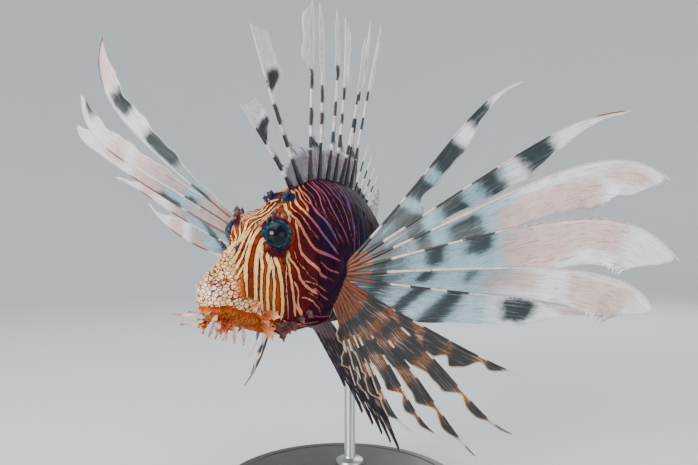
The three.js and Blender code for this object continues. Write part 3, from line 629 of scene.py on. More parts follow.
class Paint:
    """One material: its shader and the nodes that feed it."""

    def __init__(self, name: str, **constants: float | tuple) -> None:
        """Starts a material.

        Args:
            name: The material's name.
            **constants: Values set on the shader's own sockets, with spaces written as underscores.
        """
        self.material = bpy.data.materials.new(name)
        self.material.use_nodes = True
        self.tree = self.material.node_tree
        self.shader = self.tree.nodes["Principled BSDF"]
        for socket, value in constants.items():
            self.shader.inputs[socket.replace("_", " ")].default_value = value

    def node(self, kind: str, settings: dict, inputs: Inputs, output: int | str = 0) -> Socket:
        """Adds one node.

        Args:
            kind: The node's type.
            settings: Its own settings, which are set first. A ramp's stops are under "stops".
            inputs: Its inputs, by number or name.
            output: Which output to return.

        Returns:
            The chosen output.
        """
        node = self.tree.nodes.new(kind)
        for key, value in settings.items():
            if key == "stops":
                self.set_stops(node.color_ramp.elements, value)
            else:
                setattr(node, key, value)
        for key, value in inputs.items():
            if isinstance(value, Socket):
                self.tree.links.new(value.link, node.inputs[key])
            else:
                node.inputs[key].default_value = value
        return Socket(self, node.outputs[output])

    @staticmethod
    def set_stops(elements: bpy.types.ColorRampElements, stops: Sequence[tuple[float, str]]) -> None:
        """Sets the stops of a ramp from pairs of place and colour."""
        while len(elements) < len(stops):
            elements.new(0.5)
        for element, (place, colour) in zip(elements, stops):
            element.position = place
            element.color = linear(colour)

    def value(self, name: str) -> Socket:
        """A per-point value of the mesh."""
        return self.node("ShaderNodeAttribute", {"attribute_name": name}, {}, "Fac")

    def vector(self, name: str) -> Socket:
        """A per-point vector of the mesh."""
        return self.node("ShaderNodeAttribute", {"attribute_name": name}, {}, "Vector")

    def stretch(self, vector: Socket, scale: tuple[float, float, float]) -> Socket:
        """A vector with each part scaled."""
        return self.node("ShaderNodeVectorMath", {"operation": "MULTIPLY"}, {0: vector, 1: scale})

    def grain(self, vector: Socket, size: float, detail: float = 2.0, rough: float = 0.5) -> Socket:
        """Noise from 0 to 1 in lumps of a size, in the vector's own units."""
        inputs = {"Vector": vector, "Scale": 1 / size, "Detail": detail, "Roughness": rough}
        return self.node("ShaderNodeTexNoise", {}, inputs, "Fac")

    def sway(self, vector: Socket, size: float, swing: float, detail: int = 2, rough: float = 0.5) -> Socket:
        """Noise round 0, as far as half a swing to either side."""
        return (self.grain(vector, size, detail, rough) - 0.5) * swing

    def cells(self, vector: Socket, size: float, feature: str, chance: float = 1.0) -> Socket:
        """The distance to the edge or the middle of a cell of a size."""
        inputs = {"Vector": vector, "Scale": 1 / size, "Randomness": chance}
        return self.node("ShaderNodeTexVoronoi", {"feature": feature}, inputs, "Distance")

    def ramp(self, place: Socket, stops: Sequence[tuple[float, str]]) -> Socket:
        """A colour from a ramp."""
        return self.node("ShaderNodeValToRGB", {"stops": stops}, {"Fac": place}, "Color")

    def mix(self, share: Input, a: Input | str, b: Input | str, blend: str = "MIX") -> Socket:
        """Two colours mixed, each a socket or a paint chart colour."""
        first, second = (linear(c) if isinstance(c, str) else c for c in (a, b))
        settings = {"data_type": "RGBA", "blend_type": blend, "clamp_factor": True}
        return self.node("ShaderNodeMix", settings, {0: share, 6: first, 7: second}, 2)

    def bump(self, height: Socket, strength: float, distance: float, under: Socket | None = None) -> Socket:
        """A bumped normal, over another where one is given."""
        inputs: Inputs = {"Height": height, "Strength": strength, "Distance": distance * METRE}
        if under is not None:
            inputs["Normal"] = under
        return self.node("ShaderNodeBump", {}, inputs, "Normal")

    def feed(self, **links: Socket) -> bpy.types.Material:
        """Links values to the shader's sockets, named with underscores, and returns the material."""
        for name, socket in links.items():
            self.tree.links.new(socket.link, self.shader.inputs[name.replace("_", " ")])
        return self.material


@dataclass(frozen=True)
class SkinFinish:
    """The banded skin: pale lines with dark rims over a ground from orange to maroon, with painted shade that
    turns the rear trunk navy and darkens round the eye, and a painted highlight on the brow.
    """

    # From about 0.66 on, the ground darkens to navy: painted shade with a blue cast over the maroon of the rear
    # trunk.
    ground: tuple[tuple[float, str], ...] = (
        (0.0, "#c25206"),
        (0.22, "#8a3204"),
        (0.36, "#741606"),
        (0.5, "#4c0910"),
        (0.66, "#2a0820"),
        (0.82, "#0e0c30"),
        (1.0, "#021824"),
    )
    # Towards the same end the pale lines darken to lilac and blue: painted shade over them on the rear trunk.
    pale: tuple[tuple[float, str], ...] = (
        (0.0, "#f9ca86"),
        (0.25, "#efae6c"),
        (0.45, "#d68568"),
        (0.65, "#a85a64"),
        (0.85, "#6c4c7c"),
        (1.0, "#14324a"),
    )
    rim: str = "#3a0e0a"
    mesh_pale: str = "#f9d09a"
    mesh_line: str = "#6a1e08"
    jaw: str = "#86380e"
    white: str = "#fbf3ea"
    horn: str = "#14203a"
    # Painted shade: the dark maroon ring above and below the eye, under the brow and the lid.
    lid: str = "#3a0c16"
    cell_warm: str = "#e8924c"
    jaw_pale: str = "#d08446"
    # The brow's pale flecks are a painted highlight on its bump; the red flecks are its own colour.
    brow_pale: str = "#ecc6a8"
    brow_red: str = "#9c2a12"
    line_sway: float = 0.68
    fine_sway: float = 0.3
    rim_width: float = 0.5
    cell_size: float = 2.1
    cell_shape: tuple[float, float, float] = (0.75, 0.9, 1.2)
    scale_chance: float = 0.45

    def material(self) -> bpy.types.Material:
        """The skin's material."""
        paint = Paint("skin", Specular_IOR_Level=0.0, Coat_Weight=0.14, Coat_Roughness=0.3)
        place = paint.vector("place_fish")
        # The skin's tone, whose high end is painted shade on the rear trunk.
        tone = paint.value("tone")
        waver = paint.sway(place, 2.6, self.line_sway) + paint.sway(place, 0.8, self.fine_sway, 1)
        line = paint.value("line") + waver * (1.15 - paint.value("scaly"))
        ground = paint.ramp(tone + paint.sway(place, 7.0, 0.12, 3), self.ground)
        mottle = paint.grain(paint.stretch(place, (1.0, 0.5, 0.35)), 1.6, 3, 0.6)
        ground = paint.mix(mottle.step(0.42, 0.72) * 0.8, ground, paint.mix(0.6, ground, self.rim))
        ground = paint.mix(line.step(1.6, 0.5) * 0.35, ground, paint.mix(0.5, ground, self.rim))
        pale = paint.ramp(tone + paint.sway(place, 4.0, 0.1), self.pale)
        pale = paint.mix(paint.grain(place, 1.2, 2).step(0.4, 0.8) * 0.25, pale, ground)
        colour = paint.mix(line.step(0.16, -0.1), ground, pale)
        rim = line.step(-0.08, 0.1) * line.step(self.rim_width + 0.3, self.rim_width - 0.15)
        colour = paint.mix(rim, colour, self.rim)
        edge = paint.cells(paint.stretch(place, self.cell_shape), self.cell_size, "DISTANCE_TO_EDGE")
        edge = edge + paint.sway(place, 0.7, 0.08, 1)
        cell = paint.mix(paint.grain(place, 3.0, 2).step(0.4, 0.7) * 0.6, self.mesh_pale, self.cell_warm)
        cell = paint.mix(paint.value("white"), cell, self.white)
        net = paint.mix(edge.step(0.13, 0.04), cell, self.mesh_line)
        colour = paint.mix(paint.value("net"), colour, net)
        slant = paint.grain(paint.stretch(place, (1.6, 0.5, 0.5)), 1.0, 2).step(0.42, 0.62)
        jaw = paint.mix(slant * 0.55, self.jaw, self.jaw_pale)
        colour = paint.mix(paint.value("jaw"), colour, jaw)
        colour = paint.mix(paint.value("horn"), colour, self.horn)
        # On the brow, flecks of painted highlight among red flecks of the skin's own colour.
        brow_fleck = paint.grain(paint.stretch(place, (1.0, 1.0, 0.5)), 1.1, 2).step(0.48, 0.56)
        colour = paint.mix(paint.value("brow"), colour, paint.mix(brow_fleck, self.brow_pale, self.brow_red))
        # Painted shade round the eye, darkest above and below it.
        colour = paint.mix(paint.value("lid"), colour, self.lid)
        scale = paint.cells(paint.vector("place_scale"), 1.0, "F1", self.scale_chance)
        pores = paint.grain(place, 0.5, 2)
        coarse = paint.bump(paint.grain(place, 2.2, 3), 0.5, 0.5)
        scaled = paint.bump(scale * paint.value("scaly"), 0.55, 0.35, coarse)
        raised = paint.bump(line.step(0.3, -0.1), 0.35, 0.2, scaled)
        fine = paint.bump(pores, 0.3, 0.12, raised)
        rough = 0.36 + pores * 0.16 + scale * 0.1
        return paint.feed(Base_Color=colour, Roughness=rough, Normal=fine)


@dataclass(frozen=True)
class EyeFinish:
    """The wet eye: a dark pupil, a thin bright ring and a streaked blue iris."""

    rings: tuple[tuple[float, str], ...] = (
        (0.0, "#02050e"),
        (0.44, "#030817"),
        (0.50, "#061424"),
        (0.56, "#0a2a40"),
        (0.66, "#061a30"),
        (0.78, "#0a3044"),
        (0.9, "#04101c"),
        (1.0, "#12060a"),
    )
    glint: str = "#5f97ac"
    patch: str = "#0b1526"

    def material(self) -> bpy.types.Material:
        """The eye's material."""
        paint = Paint("eye", Roughness=0.3, Specular_IOR_Level=0.05, Coat_Weight=0.4, Coat_Roughness=0.03)
        place = paint.vector("place_eye")
        radius = paint.value("gaze") + paint.sway(paint.stretch(place, (0.35, 1.0, 1.0)), 1.4, 0.16, 3)
        radius = radius + paint.sway(place, 5.0, 0.16, 1)
        colour = paint.ramp(radius, self.rings)
        iris = radius.step(0.5, 0.6) * radius.step(0.95, 0.8)
        glint = paint.grain(place, 1.5, 3, 0.65).step(0.5, 0.7) * iris
        colour = paint.mix(glint * 0.6, colour, self.glint)
        patch = paint.grain(place, 2.6, 2).step(0.46, 0.6) * radius.step(0.5, 0.7)
        colour = paint.mix(patch * 0.8, colour, self.patch)
        return paint.feed(Base_Color=colour)


@dataclass(frozen=True)
class WebFinish:
    """The thin skin of a fin: half clear near the body, whiter outside, with dark and warm blotches."""

    name: str
    root: str
    clear: str
    milky: str
    dark: str
    warm: str
    thin: float
    full: float
    fine: float = 1.1
    tan: str = "#4a280c"
    gold: str = "#8c5a24"
    umber: str = "#1c0e0c"
    streak: str = "#5a3a34"
    spot: str = "#1c1a1e"
    pale_edge: str = "#e8c8a4"

    def material(self) -> bpy.types.Material:
        """The web's material."""
        paint = Paint(self.name, Roughness=0.4, Coat_Weight=0.1, Coat_Roughness=0.25)
        place = paint.vector("place_web")
        waver = paint.sway(place, 7.0, 0.9, 3, 0.6)
        ragged = paint.sway(paint.stretch(place, (0.35, 1.0, 1.0)), 1.4, 0.4, 3, 0.6)
        dark = (paint.value("dark") + waver * 0.8 + ragged * 0.8).step(0.12, 0.95)
        warm = (paint.value("warm") + waver * 1.4 + ragged * 0.5).step(0.1, 1.1)
        milky = (paint.value("milky") + paint.sway(place, 6.0, 0.4)).step(0.1, 0.9)
        streak = paint.grain(paint.stretch(place, (0.12, 1.0, 1.0)), self.fine, 3, 0.6)
        mottle = paint.grain(place, 1.6, 3, 0.6)
        ground = paint.mix(milky, self.clear, self.milky)
        shade = (paint.value("shade") + (mottle - 0.5) * 0.5).step(0.2, 0.8)
        ground = paint.mix(shade * 0.85, ground, self.root)
        tan = paint.value("tan").step(0.0, 0.5)
        ground = paint.mix(tan, ground, paint.mix(mottle.step(0.38, 0.72), self.tan, self.gold))
        ground = paint.mix(streak.step(0.46, 0.7) * 0.4, ground, paint.mix(0.55, ground, self.streak))
        speck = paint.cells(place, 1.5, "F1").step(0.2, 0.1) * paint.grain(place, 4.0, 2).step(0.45, 0.6)
        ground = paint.mix(speck * milky * 0.5, ground, self.dark)
        colour = paint.mix(warm * (0.3 + mottle * 0.6), ground, self.warm)
        inner = paint.mix(mottle.step(0.4, 0.8) * 0.45, self.dark, self.spot)
        inner = paint.mix(tan * 0.8, inner, self.umber)
        colour = paint.mix(dark, colour, inner)
        edge = paint.value("edge").step(1.1, 0.2)
        colour = paint.mix(edge * 0.6, colour, paint.mix(tan, self.milky, self.pale_edge))
        vein = paint.grain(paint.stretch(place, (0.05, 1.0, 1.0)), 0.45, 2).step(0.56, 0.64)
        gleam = paint.grain(paint.stretch(place, (0.025, 1.0, 1.0)), 0.5, 2).step(0.58, 0.68)
        undarkened = 1.0 - dark * 0.6
        colour = paint.mix(vein * 0.5 * undarkened, colour, self.streak)
        colour = paint.mix(gleam * 0.4 * undarkened, colour, self.milky)
        alpha = milky * (self.full - self.thin) + self.thin + streak.step(0.45, 0.7) * 0.2
        for zone, solid in ((dark, 0.92), (shade, 0.8), (vein, 0.75), (warm, 0.9), (edge, 0.8), (tan, 0.95)):
            alpha = alpha.larger(zone * solid)
        normal = paint.bump(mottle, 0.3, 0.1, paint.bump(streak, 0.5, 0.25))
        return paint.feed(Base_Color=colour, Alpha=alpha.smaller(1.0), Normal=normal)


@dataclass(frozen=True)
class RayFinish:
    """A ray or spine: a pale rod with dark lengths, jointed across."""

    name: str
    pale: str
    dark: str
    warm: str
    joint: float = 1.4

    def material(self) -> bpy.types.Material:
        """The ray's material."""
        paint = Paint(self.name, Roughness=0.4, Coat_Weight=0.2, Coat_Roughness=0.2)
        place = paint.vector("place_web")
        waver = paint.sway(place, 1.6, 0.6, 3, 0.6)
        dark = (paint.value("dark") + waver).step(0.42, 0.58)
        warm = (paint.value("warm") + waver).step(0.25, 0.8)
        mottle = paint.grain(place, 1.2, 3, 0.6)
        colour = paint.mix(warm, self.pale, self.warm)
        colour = paint.mix(mottle.step(0.45, 0.75) * 0.45, colour, paint.mix(0.5, self.warm, self.dark))
        colour = paint.mix(dark, colour, self.dark)
        ring = (paint.value("run") * (2 * math.pi / self.joint)).sine()
        jointed = paint.bump(ring, 0.4, 0.12)
        return paint.feed(Base_Color=colour, Normal=paint.bump(mottle, 0.35, 0.12, jointed))


@dataclass(frozen=True)
class FringeFinish:
    """A fleshy cirrus, darker or paler along its length."""

    name: str
    root: str
    middle: str
    tip: str
    fleck: str

    def material(self) -> bpy.types.Material:
        """The cirrus's material."""
        paint = Paint(self.name, Roughness=0.45, Coat_Weight=0.2, Coat_Roughness=0.25)
        place = paint.vector("place_web")
        run = paint.value("run") + paint.sway(place, 1.4, 0.5, 3)
        colour = paint.ramp(run, ((0.0, self.root), (0.5, self.middle), (1.0, self.tip)))
        fleck = paint.grain(place, 0.8, 3, 0.6).step(0.54, 0.66)
        colour = paint.mix(fleck * 0.8, colour, self.fleck)
        return paint.feed(Base_Color=colour, Normal=paint.bump(paint.grain(place, 0.5, 2), 0.5, 0.15))


@dataclass(frozen=True)
class StandFinish:
    """A satin turned base with a fine grain."""

    colour: str = "#171411"
    sheen: str = "#3a332c"

    def material(self) -> bpy.types.Material:
        """The base's material."""
        paint = Paint("stand_satin_black", Coat_Weight=0.35, Coat_Roughness=0.25)
        place = paint.vector("place_web")
        grain = paint.grain(paint.stretch(place, (1.0, 0.08, 1.0)), 1.6, 4, 0.65)
        dust = paint.grain(place, 18.0, 3)
        colour = paint.mix(grain * 0.5, self.colour, self.sheen)
        return paint.feed(Base_Color=colour, Roughness=0.34 + dust * 0.2, Normal=paint.bump(grain, 0.15, 0.1))


@dataclass(frozen=True)
class SteelFinish:
    """Brushed steel, with lines round the rod."""

    colour: str = "#c4c7ca"
    line: str = "#8d9195"

    def material(self) -> bpy.types.Material:
        """The rod's material."""
        paint = Paint("rod_brushed_steel", Metallic=1.0)
        place = paint.vector("place_web")
        brushed = paint.grain(paint.stretch(place, (0.15, 0.15, 6.0)), 1.0, 4, 0.7)
        colour = paint.mix(brushed * 0.35, self.colour, self.line)
        normal = paint.bump(brushed, 0.12, 0.05)
        return paint.feed(Base_Color=colour, Roughness=0.22 + brushed * 0.2, Normal=normal)


@dataclass(frozen=True)
class FloorFinish:
    """A plain pale studio floor."""

    colour: str = "#eceeef"
    shade: str = "#e0e3e5"

    def material(self) -> bpy.types.Material:
        """The floor's material."""
        paint = Paint("floor_paper", Roughness=0.85)
        place = paint.node("ShaderNodeTexCoord", {}, {}, "Object")
        return paint.feed(Base_Color=paint.mix(paint.grain(place, 0.4, 3) * 0.3, self.colour, self.shade))


@dataclass(frozen=True)
class Stripe:
    """A pale line on the skin through a few places, each along in millimetres and an angle in degrees."""

    name: str
    places: tuple[tuple[float, float], ...]
    width: float
    mirrored: bool = True


Places = Sequence[tuple[float, float]]
NARROW_SHARE = 0.8
LINE_FAR = 1e3
BUNDLE_PLACES = 9


def between(
    name: str, first: Places, last: Places, count: int, width: float, mirrored: bool = True
) -> tuple[Stripe, ...]:
    """Stripes spread evenly from one run of places to another.

    Args:
        name: What their names begin with.
        first: The first stripe's places.
        last: The last stripe's places.
        count: How many there are.
        width: The wider ones' width, in millimetres.
        mirrored: Whether the other side has them too.

    Returns:
        The stripes, wider and narrower by turns.
    """
    a, b = (curve_through(run, BUNDLE_PLACES) for run in (first, last))
    stripes = []
    for k in range(count):
        places = lerp(a, b, k / (count - 1))
        share = NARROW_SHARE if k % 2 else 1.0
        stripes.append(Stripe(f"{name}_{k}", tuple(map(tuple, places)), width * share, mirrored))
    return tuple(stripes)


FOREHEAD_RIGHT = ((58, 112), (48, 122), (40, 134), (35, 142), (28, 134), (21, 118), (14, 112))
FOREHEAD_LEFT = ((60, 80), (52, 80), (43, 82), (34, 71), (28, 57), (22, 44), (18, 36))
BAND_FRONT = ((41, 72), (36, 66), (30, 54), (25, 40), (22, 29), (19, 10), (19, -8))


@dataclass(frozen=True)
class Band:
    """A wide band of ground colour through a few places, warmer below 0 and darker above."""

    places: tuple[tuple[float, float], ...]
    half: float
    shift: float


BANDS = (
    Band(((35, 62), (29, 46), (25, 32), (22, 14), (21, -4), (22, -30)), 1.8, 0.2),
    Band(((42, 28), (41, 12), (42, 0), (44, -16), (47, -42)), 1.6, 0.14),
    Band(((62, 84), (56, 64), (54, 52), (56, 42)), 1.4, -0.26),
    Band(((68, 82), (64, 68), (64, 56)), 2.6, -0.3),
    Band(((75, 84), (71, 72), (70, 60)), 1.6, -0.22),
)


@dataclass(frozen=True)
class Markings:
    """The pale lines of the head and trunk."""

    trunk_start: float = 98.0
    trunk_end: float = 232.0
    trunk_pitch: float = 5.0
    forehead_end: float = 58.0
    forehead_side: float = math.cos(math.radians(145))
    lean: float = 3.0
    lean_swing: float = 2.4
    lean_turn: float = 0.9
    waver: float = 0.9
    waver_angle: float = 19.0
    rear_angles: tuple[float, ...] = (90, 66, 44, 22, 0, -24, -48, -70, -88)
    rear_widths: tuple[float, float] = (1.1, 0.8)
    rear_gaps: tuple[float, float] = (0.62, 1.25)
    taper_share: float = 0.08
    margin: float = 5.0
    head: tuple[Stripe, ...] = (
        *between("forehead", FOREHEAD_RIGHT, FOREHEAD_LEFT, 8, 1.05, False),
        *between("brow_to_snout", FOREHEAD_LEFT, BAND_FRONT, 3, 1.25)[1:],
        Stripe("before_eye_1", ((35, 53), (30, 38), (26, 22), (24, 4), (24, -15), (25, -36)), 2.1),
        Stripe("before_eye_2", ((33, 42), (30, 27), (28, 12), (27, -6), (29, -36)), 1.5),
        Stripe("under_eye_1", ((34, 32), (32, 15), (31, 2), (31, -16), (34, -42)), 1.9),
        Stripe("under_eye_2", ((35, 26), (34, 14), (35, 0), (35, -18), (38, -44)), 1.6),
        Stripe("under_eye_3", ((37, 27), (37, 14), (39, 0), (40, -15), (43, -44)), 2.0),
        Stripe("cheek_1", ((44, 29), (43, 10), (45, 0), (47, -16), (51, -40)), 1.4),
        Stripe("cheek_2", ((44, 27), (46, 15), (50, 2), (54, -7), (62, -18)), 1.4),
        Stripe("cheek_low", ((47, -2), (50, -12), (51, -24), (57, -44)), 1.1),
        Stripe("behind_eye_1", ((56, 51), (54, 38), (53, 22), (56, 12), (61, 2), (70, -8)), 1.6),
        Stripe("nape_to_gill_1", ((61, 87), (54, 62), (57, 50), (58, 38), (59, 29), (64, 15), (80, 2)), 1.7),
        Stripe("nape_fork", ((58, 75), (51, 56), (50, 48)), 1.5),
        Stripe("nape_to_gill_2", ((70, 90), (63, 68), (64, 51), (68, 33), (72, 21), (79, 7)), 1.4),
        Stripe("nape_patch", ((72, 88), (67, 70), (67, 56), (66, 50)), 1.3),
        Stripe("trunk_1", ((76, 90), (72, 78), (71, 60), (70, 46), (74, 34), (80, 14)), 1.0),
        Stripe("trunk_2", ((82, 90), (79, 78), (78, 60), (76, 46), (79, 30), (86, 12)), 0.8),
        Stripe("trunk_3", ((86, 90), (82, 76), (82, 57), (82, 42), (84, 30), (91, 9)), 0.8),
        Stripe("trunk_4", ((90, 90), (88, 76), (88, 57), (90, 44), (92, 22), (97, 4)), 0.75),
        Stripe("trunk_5", ((94, 90), (92, 74), (94, 56), (95, 42), (97, 24), (102, 4)), 0.75),
        Stripe("trunk_fine_1", ((79, 90), (75, 78), (74, 60), (73, 46), (77, 28)), 0.5),
        Stripe("trunk_fine_2", ((84, 90), (81, 77), (80, 60), (79, 45), (82, 28)), 0.5),
        Stripe("trunk_fine_3", ((88, 90), (85, 76), (85, 57), (86, 43), (88, 24)), 0.5),
        Stripe("trunk_fine_4", ((92, 90), (90, 76), (91, 57), (92, 43), (95, 22)), 0.5),
        Stripe("nape_fine_1", ((66, 88), (59, 66), (61, 50), (63, 34), (67, 22)), 0.7),
        Stripe("nape_fine_2", ((73, 84), (69, 66), (70, 52), (72, 42)), 0.6),
        Stripe("cheek_fine_1", ((49, 24), (50, 12), (55, 2), (62, -8)), 0.6),
        Stripe("cheek_fine_2", ((45, -6), (48, -20), (54, -38)), 0.7),
        Stripe("face_fine_1", ((41, 16), (42, 0), (43, -16), (47, -42)), 0.7),
        Stripe("gill_fine_1", ((58, 6), (66, -3), (76, -12)), 0.5),
        Stripe("gill_fine_2", ((56, -14), (64, -24), (74, -38)), 0.5),
        Stripe("gill_1", ((65, 6), (71, -1), (79, -6)), 0.9),
        Stripe("gill_2", ((54, -4), (62, -10), (72, -20)), 0.8),
        Stripe("gill_3", ((52, -18), (58, -22), (67, -33), (74, -44)), 0.8),
        Stripe("gill_4", ((60, -12), (68, -22), (76, -30)), 0.8),
        Stripe("throat_1", ((44, -44), (56, -56), (70, -64)), 0.8),
        Stripe("throat_2", ((52, -50), (64, -56), (80, -60)), 0.8),
        Stripe("throat_3", ((66, -44), (76, -50), (90, -54)), 0.7),
        Stripe("throat_4", ((38, -52), (50, -66), (62, -78)), 0.8),
        Stripe("breast_1", ((80, -38), (88, -52), (92, -80)), 0.8),
        Stripe("breast_2", ((88, -34), (96, -52), (99, -82)), 0.8),
        Stripe("snout_1", ((22, 64), (16, 58), (10, 50)), 1.2),
        Stripe("snout_2", ((23, 55), (17, 50), (12, 42)), 1.1),
        Stripe("snout_3", ((23, 45), (18, 39), (13, 31)), 1.1),
        Stripe("snout_4", ((22, 35), (18, 29), (14, 22)), 1.0),
    )

    def trunk(self) -> list[Stripe]:
        """The lines of the rear trunk and tail, in pairs, which lean and waver down the flank."""
        lines = []
        along = self.trunk_start
        while along < self.trunk_end:
            count = len(lines)
            lean = self.lean_swing * math.sin(self.lean_turn * count) - self.lean
            places = []
            for a in self.rear_angles:
                waver = self.waver * math.sin(a / self.waver_angle + count)
                places.append((along + lean * math.cos(math.radians(a)) + waver, a))
            lines.append(Stripe(f"rear_{count}", tuple(places), self.rear_widths[count % 2]))
            along += self.trunk_pitch * self.rear_gaps[count % 2]
        return lines

    def distance(self, form: BodyForm, along: Array, angle: Array) -> Array:
        """How far each place on the skin is from the nearest pale line's edge.

        Args:
            form: The body that carries the lines.
            along: Places from the snout.
            angle: Angles round the section, in radians, from minus a half turn to a half turn.

        Returns:
            The distance in millimetres, below 0 inside a line.
        """
        points = form.places(along, angle).reshape(-1, 3)
        nearest = np.full(len(points), LINE_FAR)
        forehead = ((along < self.forehead_end) & (np.cos(angle) > self.forehead_side) & (angle > 0)).ravel()
        for stripe in [*self.head, *self.trunk()]:
            curve = curve_through(stripe.places, 8 * len(stripe.places))
            for mirror in (False, True) if stripe.mirrored else (False,):
                turn = np.radians(180 - curve[:, 1] if mirror else curve[:, 1])
                path = form.places(curve[:, 0], turn)
                low, high = path.min(0) - self.margin, path.max(0) + self.margin
                close = np.all((points > low) & (points < high), axis=1)
                if not close.any():
                    continue
                away, share = distance_to_path(points[close], path)
                taper = 0.5 + 0.5 * smoothstep(np.minimum(share, 1 - share), 0.0, self.taper_share)
                away = away - stripe.width / 2 * taper
                if mirror:
                    away = np.where(forehead[close], LINE_FAR, away)
                nearest[close] = np.minimum(nearest[close], away)
        return nearest.reshape(along.shape)


GAZE = {Side.LEFT: (-0.74, 0.66, 0.14), Side.RIGHT: (-0.35, 0.92, 0.14)}


@dataclass
class Body:
    """The skin over head, jaw, trunk and tail stem, in one piece, with its relief and markings."""

    form: BodyForm
    markings: Markings = Markings()
    around: int = 320
    end_line: float = 3.0
    nose_rings: int = 26
    head_step: float = 0.52
    head_end: float = 92.0
    tail_step: float = 1.0
    mouth: Places = ((1.5, -9.5), (7.5, -8.9), (12.5, -11.2), (20, -14.7), (28, -18), (31, -22))
    mouth_heights: Places = ((0, -9.5), (7.5, -8.9), (12.5, -11.2), (20, -14.7), (28, -18), (34, -24))
    mouth_depth: float = 1.5
    mouth_width: float = 0.62
    opening: float = 1.12
    degree: tuple[float, float] = (1.0, 0.32)
    lid_height: float = 0.7
    # How far the painted shade round the eye reaches past the eyeball.
    lid_reach: float = 3.5
    nostril: tuple[float, float, float] = (21, 6.5, 15.5)
    horn: tuple[float, float, float] = (62.0, 5.5, 38.5)
    brow: tuple[float, float, float] = (42.0, 10.0, 30.5)
    fold_height: float = 0.5
    gill_lift: float = 1.1
    gill_groove: float = 0.8
    nostril_rim: float = 0.9
    nostril_depth: float = 1.3
    bone_lumps: float = 0.55
    bone_grain: float = 0.25
    trunk_lumps: float = 0.22
    cheek_lumps: float = 0.35
    pore_pitch: float = 3.6
    pore_height: float = 0.42
    line_angles: tuple[float, float] = (52.0, 4.0)
    line_reach: float = 26.0
    socket_depth: float = 1.6

    def rings(self) -> Array:
        """The places of the skin's rings, close together on the head."""
        form = self.form
        turn = np.linspace(0.04, np.pi / 2, self.nose_rings)
        nose = form.nose_end - form.nose_depth * np.cos(turn)
        head = np.arange(form.nose_end, self.head_end, self.head_step)[1:]
        tail = np.arange(self.head_end, form.line.length + self.tail_step / 2, self.tail_step)
        return np.concatenate([nose, head, tail])

    def relief(self, along: Array, angle: Array, out: Array, up: Array) -> Array:
        """The height of the skin's own folds and lumps over the plain form, in millimetres."""
        form = self.form
        flat = np.stack([along, up], axis=-1).reshape(-1, 2)
        from_mouth, share = distance_to_path(flat, curve_through(self.mouth, 40))
        from_mouth = from_mouth.reshape(along.shape)
        fade = 1 - smoothstep(share.reshape(along.shape), 0.9, 1.0)
        lift = -self.mouth_depth * bell(from_mouth, self.mouth_width) * fade
        lift += self.fold_height * bell(from_mouth - 1.9, 1.0) * fade
        from_edge = along - form.gill(angle)
        cover = smoothstep(from_edge, -9.0, -1.0) * (1 - smoothstep(from_edge, -0.8, 0.2))
        reach = smoothstep(np.sin(angle), -0.95, -0.6) * (1 - smoothstep(np.sin(angle), 0.62, 0.85))
        lift += (self.gill_lift * cover - self.gill_groove * bell(from_edge - 0.6, 1.0)) * reach
        place = np.stack([along, np.abs(out), up], axis=-1)
        from_eye = np.linalg.norm(place - np.asarray(form.eye), axis=-1) - form.eye_radius
        lift += self.fold_height * bell(from_eye - 2.8, 0.8)
        from_nostril = np.linalg.norm(place - np.asarray(self.nostril), axis=-1)
        lift += self.nostril_rim * bell(from_nostril - 1.9, 0.6)
        lift -= self.nostril_depth * bell(from_nostril, 1.1)
        head = 1 - smoothstep(along, 55, 80)
        bony = smoothstep(up, -6, 12)
        lift += head * bony * self.bone_lumps * roughen(place, 2.6)
        lift += head * self.bone_grain * roughen(place, 1.3, 5.0)
        lift += (1 - head) * self.trunk_lumps * roughen(place, 3.4, 9.0)
        cheek = bell(along - 46, 16) * bell(up + 2, 12)
        lift += cheek * self.cheek_lumps * roughen(place, 1.9, 3.0)
        line_angle = np.radians(lerp(*self.line_angles, smoothstep(along, 78, 170)))
        pore = 0.5 + 0.5 * np.cos(WHOLE_TURN * along / self.pore_pitch)
        beside = np.abs(np.abs(np.sin(angle)) - np.sin(line_angle)) * self.line_reach
        shown = (np.sin(angle) > 0) * smoothstep(along, 84, 92)
        return lift + self.pore_height * pore * bell(beside, 1.1) * shown

    def off_gaze(self, place: Array, side: Side) -> tuple[Array, Array]:
        """How far a place round the eye lies off its gaze, and how high.

        Args:
            place: Places as along, out (without its sign) and up.
            side: The side of the eye.

        Returns:
            The angle in radians, and the upward part of the direction from the eye's middle.
        """
        way = unit(place - np.asarray(self.form.eye))
        gaze = unit(np.asarray(GAZE[side]))
        return np.arccos(np.clip(way @ gaze, -1, 1)), way[..., 2]

    def open_eyes(self, skin: Array, along: Array, out: Array, up: Array) -> Array:
        """Draws the skin over each eyeball as a lid with a round opening."""
        form = self.form
        skin = skin.copy()
        place = np.stack([along, np.abs(out), up], axis=-1)
        for side in Side:
            centre = form.line.place(form.eye[0], form.eye[1] * side.value, form.eye[2])
            away = skin - centre
            far = np.linalg.norm(away, axis=-1)
            off, _ = self.off_gaze(place, side)
            lid = smoothstep(off, self.opening - 0.10, self.opening + 0.06)
            over = form.eye_radius + self.lid_height
            target = lerp(form.eye_radius - self.socket_depth, np.maximum(far, over), lid)
            near = (far < over + 0.05) & (np.sign(out) == side.value)
            drawn = centre + away / np.maximum(far, TINY)[..., None] * target[..., None]
            skin = np.where(near[..., None], drawn, skin)
        return skin

